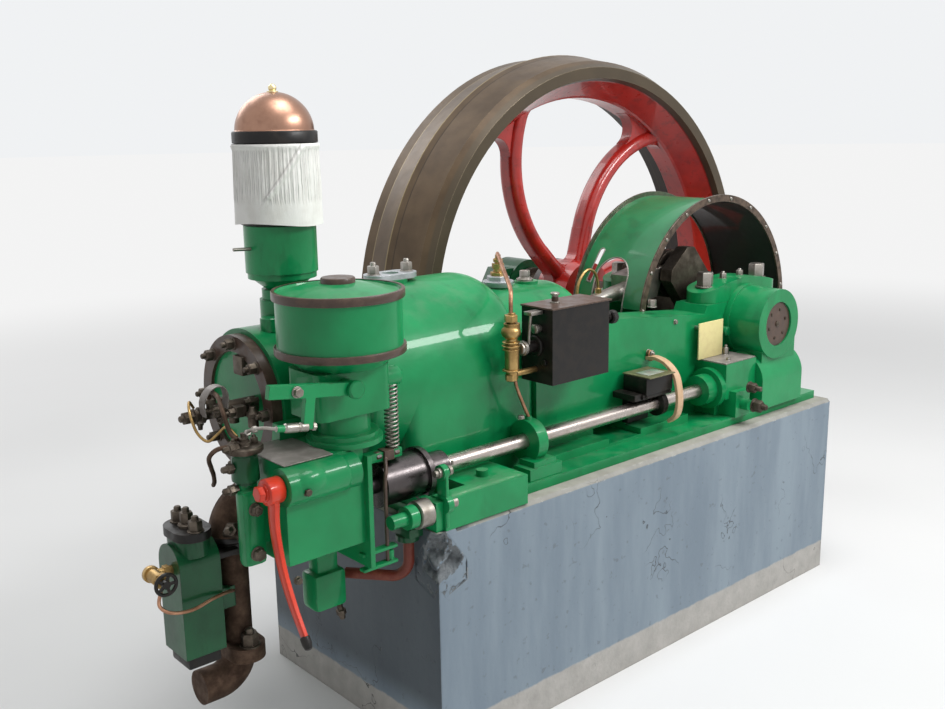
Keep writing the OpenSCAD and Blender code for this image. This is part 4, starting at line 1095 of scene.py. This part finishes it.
bm = bmesh.new()
turn_up = [math.radians(20 * k) for k in range(10)]
pipe(bm, [on_sheet(95, z) for z in (912, 945, 980)]
     + [on_sheet(30 + 65 * math.cos(a), 1012 + 65 * math.sin(a)) for a in turn_up]
     + [on_sheet(-35, z) for z in (980, 945, 912)], 2.6, 8, 3)
loop = []
for k in range(19):
    a = math.radians(20 * k)
    u, v = 10 * math.cos(a), 10 * math.sin(a) + (42 if math.sin(a) >= -1e-6 and k < 18 else -42)
    loop.append(on_sheet(112 + u * 0.99 - v * 0.139, 1048 + v * 0.99 + u * 0.139))
pipe(bm, loop[:18] + loop[:1], 2.2, 8, 2)
settle("guard_edging", bm, steel)

# %% [markdown]
# ## Counter
# The counter of turns is a small black box with a drum under it, a lid in olive
# paint and a plain window. A broad pale strap bends down from its clamp. The
# strap is a flat bar swept along a curve, and the box is made of slabs.

# %% Strap of the counter
bm = bmesh.new()
band(bm, [(-480, -231, 822), (-480, -262, 826), (-480, -300, 815), (-480, -332, 786), (-480, -345, 742),
          (-480, -347, 700), (-480, -338, 668), (-480, -316, 648)], TO_CRANK, 11, 25)
turned(bm, (-477, -240, 826), TO_HEAD, [(0, 13), (6, 13)], 24)
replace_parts(settle("strap_band", bm, strap), "counter_strap")

# %% Case of the counter
bm = bmesh.new()
slab(bm, (-607, -330, 748), (-491, -245, 796), 2.5)
slab(bm, (-613, -324, 735), (-487, -238, 749), 2.5)
slab(bm, (-592, -252, 648), (-500, -229, 738), 3)
turned(bm, (-516, -285, 701), TO_CRANK, [(0, 34), (2, 37), (20, 37), (22, 34)], 40)
for x in (-600, -498):
    nut(bm, (x, -322, 742), NEAR, 10, 0.2, 0.6)
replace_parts(settle("counter_body", bm, black), "revolution_counter")

# %% Lid, window, back and screws of the counter
bm = bmesh.new()
slab(bm, (-605, -341, 796.5), (-493, -240, 800), 1.2)
settle("counter_lid", bm, olive)
bm = bmesh.new()
slab(bm, (-586, -318, 799), (-514, -272, 801.6), 0.8)
settle("counter_window", bm, glass)
bm = bmesh.new()
slab(bm, (-642, -318, 733), (-606, -236, 752), 3)
settle("counter_back", bm, black)
bm = bmesh.new()
turned(bm, (-480, -232, 834), NEAR, [(0, 12), (9, 12), (11, 9)], 20)
settle("counter_screws", bm, copper)

# %% [markdown]
# ## Plates
# A grey sheet shields the control box's top, a worn steel plate covers the gears,
# and a pale card on two studs hangs beside them. All are thin sheets, so a slab
# with a small bevel does for each.

# %% Sheet plates
bm = bmesh.new()
slab(bm, (-1787, -358, 824.8), (-1668, -186, 827.4), 0.9)
settle("box_sheet", bm, tin)
bm = bmesh.new()
slab(bm, (-250, -341, 778.8), (-97, -232, 783.5), 1.5)
settle("gear_plate", bm, tin)
bm = bmesh.new()
slab(bm, (-271, -256, 784), (-150, -251.5, 896), 1)
settle("blank_card", bm, cream)

# %% Screws and bosses of the plates
bm = bmesh.new()
for x in (-255, -166):
    turned(bm, (x, -229, 880), NEAR, [(0, 6), (24, 6)], 12)
nut(bm, (-140, -262, 783), UP, 17, 0.5, 1.2)
nut(bm, (-205, -318, 783), UP, 12, 0.0, 0.6)
turned(bm, (-1052, -287, 764), UP, [(0, 9), (7, 9), (9, 6)], 6)
settle("plate_screws", bm, steel)
bm = bmesh.new()
turned(bm, (-114, -229, 850), NEAR, [(0, 15), (20, 15), (23, 12)], 24)
turned(bm, (-1236, 0, 1112), UP, [(0, 36), (5, 36), (8, 33)], 32)
settle("green_bosses", bm, green)

# %% [markdown]
# ## Exhaust, filter and valve
# The oil filter hangs on the exhaust pipe by an iron strap, and its feed valve
# has a small spoked wheel. The strap is a ring with a bent leg, and the valve's
# unions are hexagons of brass.

# %% Exhaust strap and filter caps
bm = bmesh.new()
turned(bm, (*EXHAUST, 544), UP, [(0, 37), (0.5, 40), (26, 40), (26.5, 37)], 40)
slab(bm, (-1826, -104, 552), (-1764, -72, 566), 4)
turned(bm, (*FILTER, 334), UP, [(0, 20), (6, 20)], 24)
slab(bm, (-1906, -103, 312), (-1826, -17, 343), 5)
turned(bm, (*EXHAUST, 576), UP, [(0, 38), (1, 52), (10, 52), (13, 50)], 44)
settle("exhaust_strap", bm, black)

# %% Unions of the valve
bm = bmesh.new()
turned(bm, (-1958, -101, 548), NEAR, [(0, 15.5), (1, 18), (9, 18), (10, 15.5)], 6)
turned(bm, (-1934, -70, 548), TO_CRANK, [(0, 11.5), (1, 15), (12, 15), (13, 11.5)], 6)
turned(bm, (-1958, -66, 548), FAR, [(0, 15.5), (1, 19), (10, 19), (14, 17)], 20)
settle("valve_unions", bm, brass)

# %% [markdown]
# ## Hand lever
# The lever is a slim forging that hangs straight from its boss and then bows
# outwards. A straight bar in CAD is enough for collision; here a flat section
# swept along a bowed line, thinner towards its end, stands for it. The boss is
# clamped by a hexagon bolt, and the end is dipped in black. All swing together.
# Its bearing swells out of the control box, and a drip cup sits over the drain
# pipe beside it.

# %% Swelling over the lever's bearing
bm = bmesh.new()
swell = [(-1.0, 0.2), (-0.94, 0.34), (-0.8, 0.6), (-0.55, 0.84), (-0.2, 0.98),
         (0.15, 0.99), (0.5, 0.87), (0.8, 0.6), (0.94, 0.34), (1.0, 0.2)]
turned(bm, (-1742, -372, 790), (1, 0, 0.02), [(50 * u, 33 * r) for u, r in swell], 36)
turned(bm, (-1797, -359, 783), TO_CRANK,
       [(-0.6, 37), (0, 40), (6, 40.6), (140, 40.6), (146, 39), (147, 37)], 56)
settle("lever_bearing", bm, green, sharp=50)

# %% Drip cup over the drain pipe
bm = bmesh.new()
slab(bm, (-1464, -346, 571), (-1397, -258, 594), 3)
turned(bm, (-1442, -310, 556), UP, [(0, 25), (2, 28), (14, 28), (16, 25)], 28)
# The cup takes the green darkened as painted shade.
settle("drip_cup", bm, shaded_green)

# %% Lever blade
LEAN = math.radians(21.5)  # how far the lever leans to the near side at rest
down = Vector((0, -math.sin(LEAN), -math.cos(LEAN)))
aside = Vector((0, math.cos(LEAN), -math.sin(LEAN)))
hub = Vector((-1818, -359, 783))
bow = [hub + down * u + aside * v for u, v in ((4, 0), (24, 5), (48, 17), (80, 28), (122, 35), (171, 38),
                                               (222, 33), (255, 27), (289, 19), (306, 15))]
bm = bmesh.new()
band(bm, bow, TO_CRANK, 29, 15, 0.6)
turned(bm, (-1836, -359, 783), TO_CRANK, [(0, 25), (2, 27.5), (34, 27.5), (37, 25), (38, 14), (90, 14)], 48)
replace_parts(settle("lever_blade", bm, red, "hand_lever_arm", 50), "hand_lever")

# %% Lever bolt and tip
bm = bmesh.new()
turned(bm, (-1839, -359, 783), TO_CRANK, [(0, 19), (1, 20), (5, 20)], 32)
nut(bm, (-1837, -359, 783), TO_HEAD, 30, 0.0, 0.46, 0.2)
settle("lever_bolt", bm, red, "hand_lever_arm")
bm = bmesh.new()
turned(bm, hub + down * 298 + aside * 17, down * 17 - aside * 4,
       [(0, 8), (2, 10.5), (16, 10.5), (26, 8), (29, 4)], 20)
settle("lever_tip", bm, black, "hand_lever_arm")

# %% [markdown]
# ## Big-end bolts
# Four bolts hold the cap of the big end, and they turn with the crank pin. They
# ride on the big-end block's own body, so they follow it at every crank angle.

# %% Big-end bolts
bm = bmesh.new()
place = Vector((-121.4, 0, 1011.6))
for side in (-1, 1):
    for y in (-16, 16):
        at = place + Vector((side * 50, y, 59))
        nut(bm, (at.x, at.y, at.z - 12), (side * 0.64, 0, 0.77), 17, 0.0, 0.6)
settle("big_end_bolts", bm, steel, "big_end_block")

# %% [markdown]
# ## The studio
# Three soft lamps and an even sky light the engine at a plain level. The
# floor is pale and keeps the engine's shadow. Further out it turns into the
# same white as the sky for the camera and in reflections, so no horizon shows.

# %% Floor
FLOOR_R, SHOWN = 60.0, 0.90  # the floor's radius, and how white the far floor and sky look
bm = bmesh.new()
bmesh.ops.create_circle(bm, cap_ends=True, segments=96, radius=FLOOR_R)
mesh = bpy.data.meshes.new("floor")
bm.to_mesh(mesh)
bm.free()
floor = bpy.data.objects.new("floor", mesh)
bpy.context.scene.collection.objects.link(floor)
pale = Finish("studio_floor", Roughness=0.85)
pale.feed(Base_Color=pale.mix(pale.noise(900, 2), (0.74, 0.74, 0.735), (0.78, 0.78, 0.775)))
far = ((pale.x * pale.x + pale.y * pale.y) ** 0.5).over(4.6, 2.8)
white = pale.node("ShaderNodeEmission", {}, {"Color": (1, 1, 1, 1), "Strength": SHOWN}, "Emission")
blend = pale.node("ShaderNodeMixShader", {}, {0: far * pale.on_show(), 2: white})
pale.tree.links.new(pale.shader.outputs[0], blend.out.node.inputs[1])
pale.tree.links.new(blend.out, pale.tree.nodes["Material Output"].inputs["Surface"])
mesh.materials.append(pale.mat)
tell(pale)

# %% Sky
LIT = 0.34  # how strongly the sky lights the engine
world = bpy.data.worlds.new("sky")
world.use_nodes = True
bpy.context.scene.world = world
sky = Graph(world.node_tree)
dome_of_light = sky.tree.nodes["Background"]
dome_of_light.inputs["Color"].default_value = (0.97, 0.985, 1, 1)
level = sky.on_show().over(0.5, 0.5) * (SHOWN - LIT) + LIT
sky.tree.links.new(level.out, dome_of_light.inputs["Strength"])
print("the sky lights at", LIT, "and shows at", SHOWN)

# %% Lamps
MIDDLE = Vector((-0.6, 0, 0.8))  # where the lamps point
LAMPS = {  # place, width, depth and power
    "key": ((1.6, -4.2, 4.4), 3.6, 0.8, 210),
    "top": ((-0.6, -0.9, 5.4), 2.6, 2.6, 160),
    "back": ((-1.0, 4.2, 3.8), 2.6, 2.6, 60),
}
for name, (place, wide, deep, power) in LAMPS.items():
    data = bpy.data.lights.new(name, "AREA")
    data.shape, data.size, data.size_y, data.energy = "RECTANGLE", wide, deep, power
    lamp = bpy.data.objects.new(name, data)
    lamp.location = place
    lamp.rotation_euler = (MIDDLE - Vector(place)).to_track_quat("-Z", "Y").to_euler()
    bpy.context.scene.collection.objects.link(lamp)
    print(name, "lamp", power, "watts")
bpy.context.scene.view_settings.view_transform = "Standard"
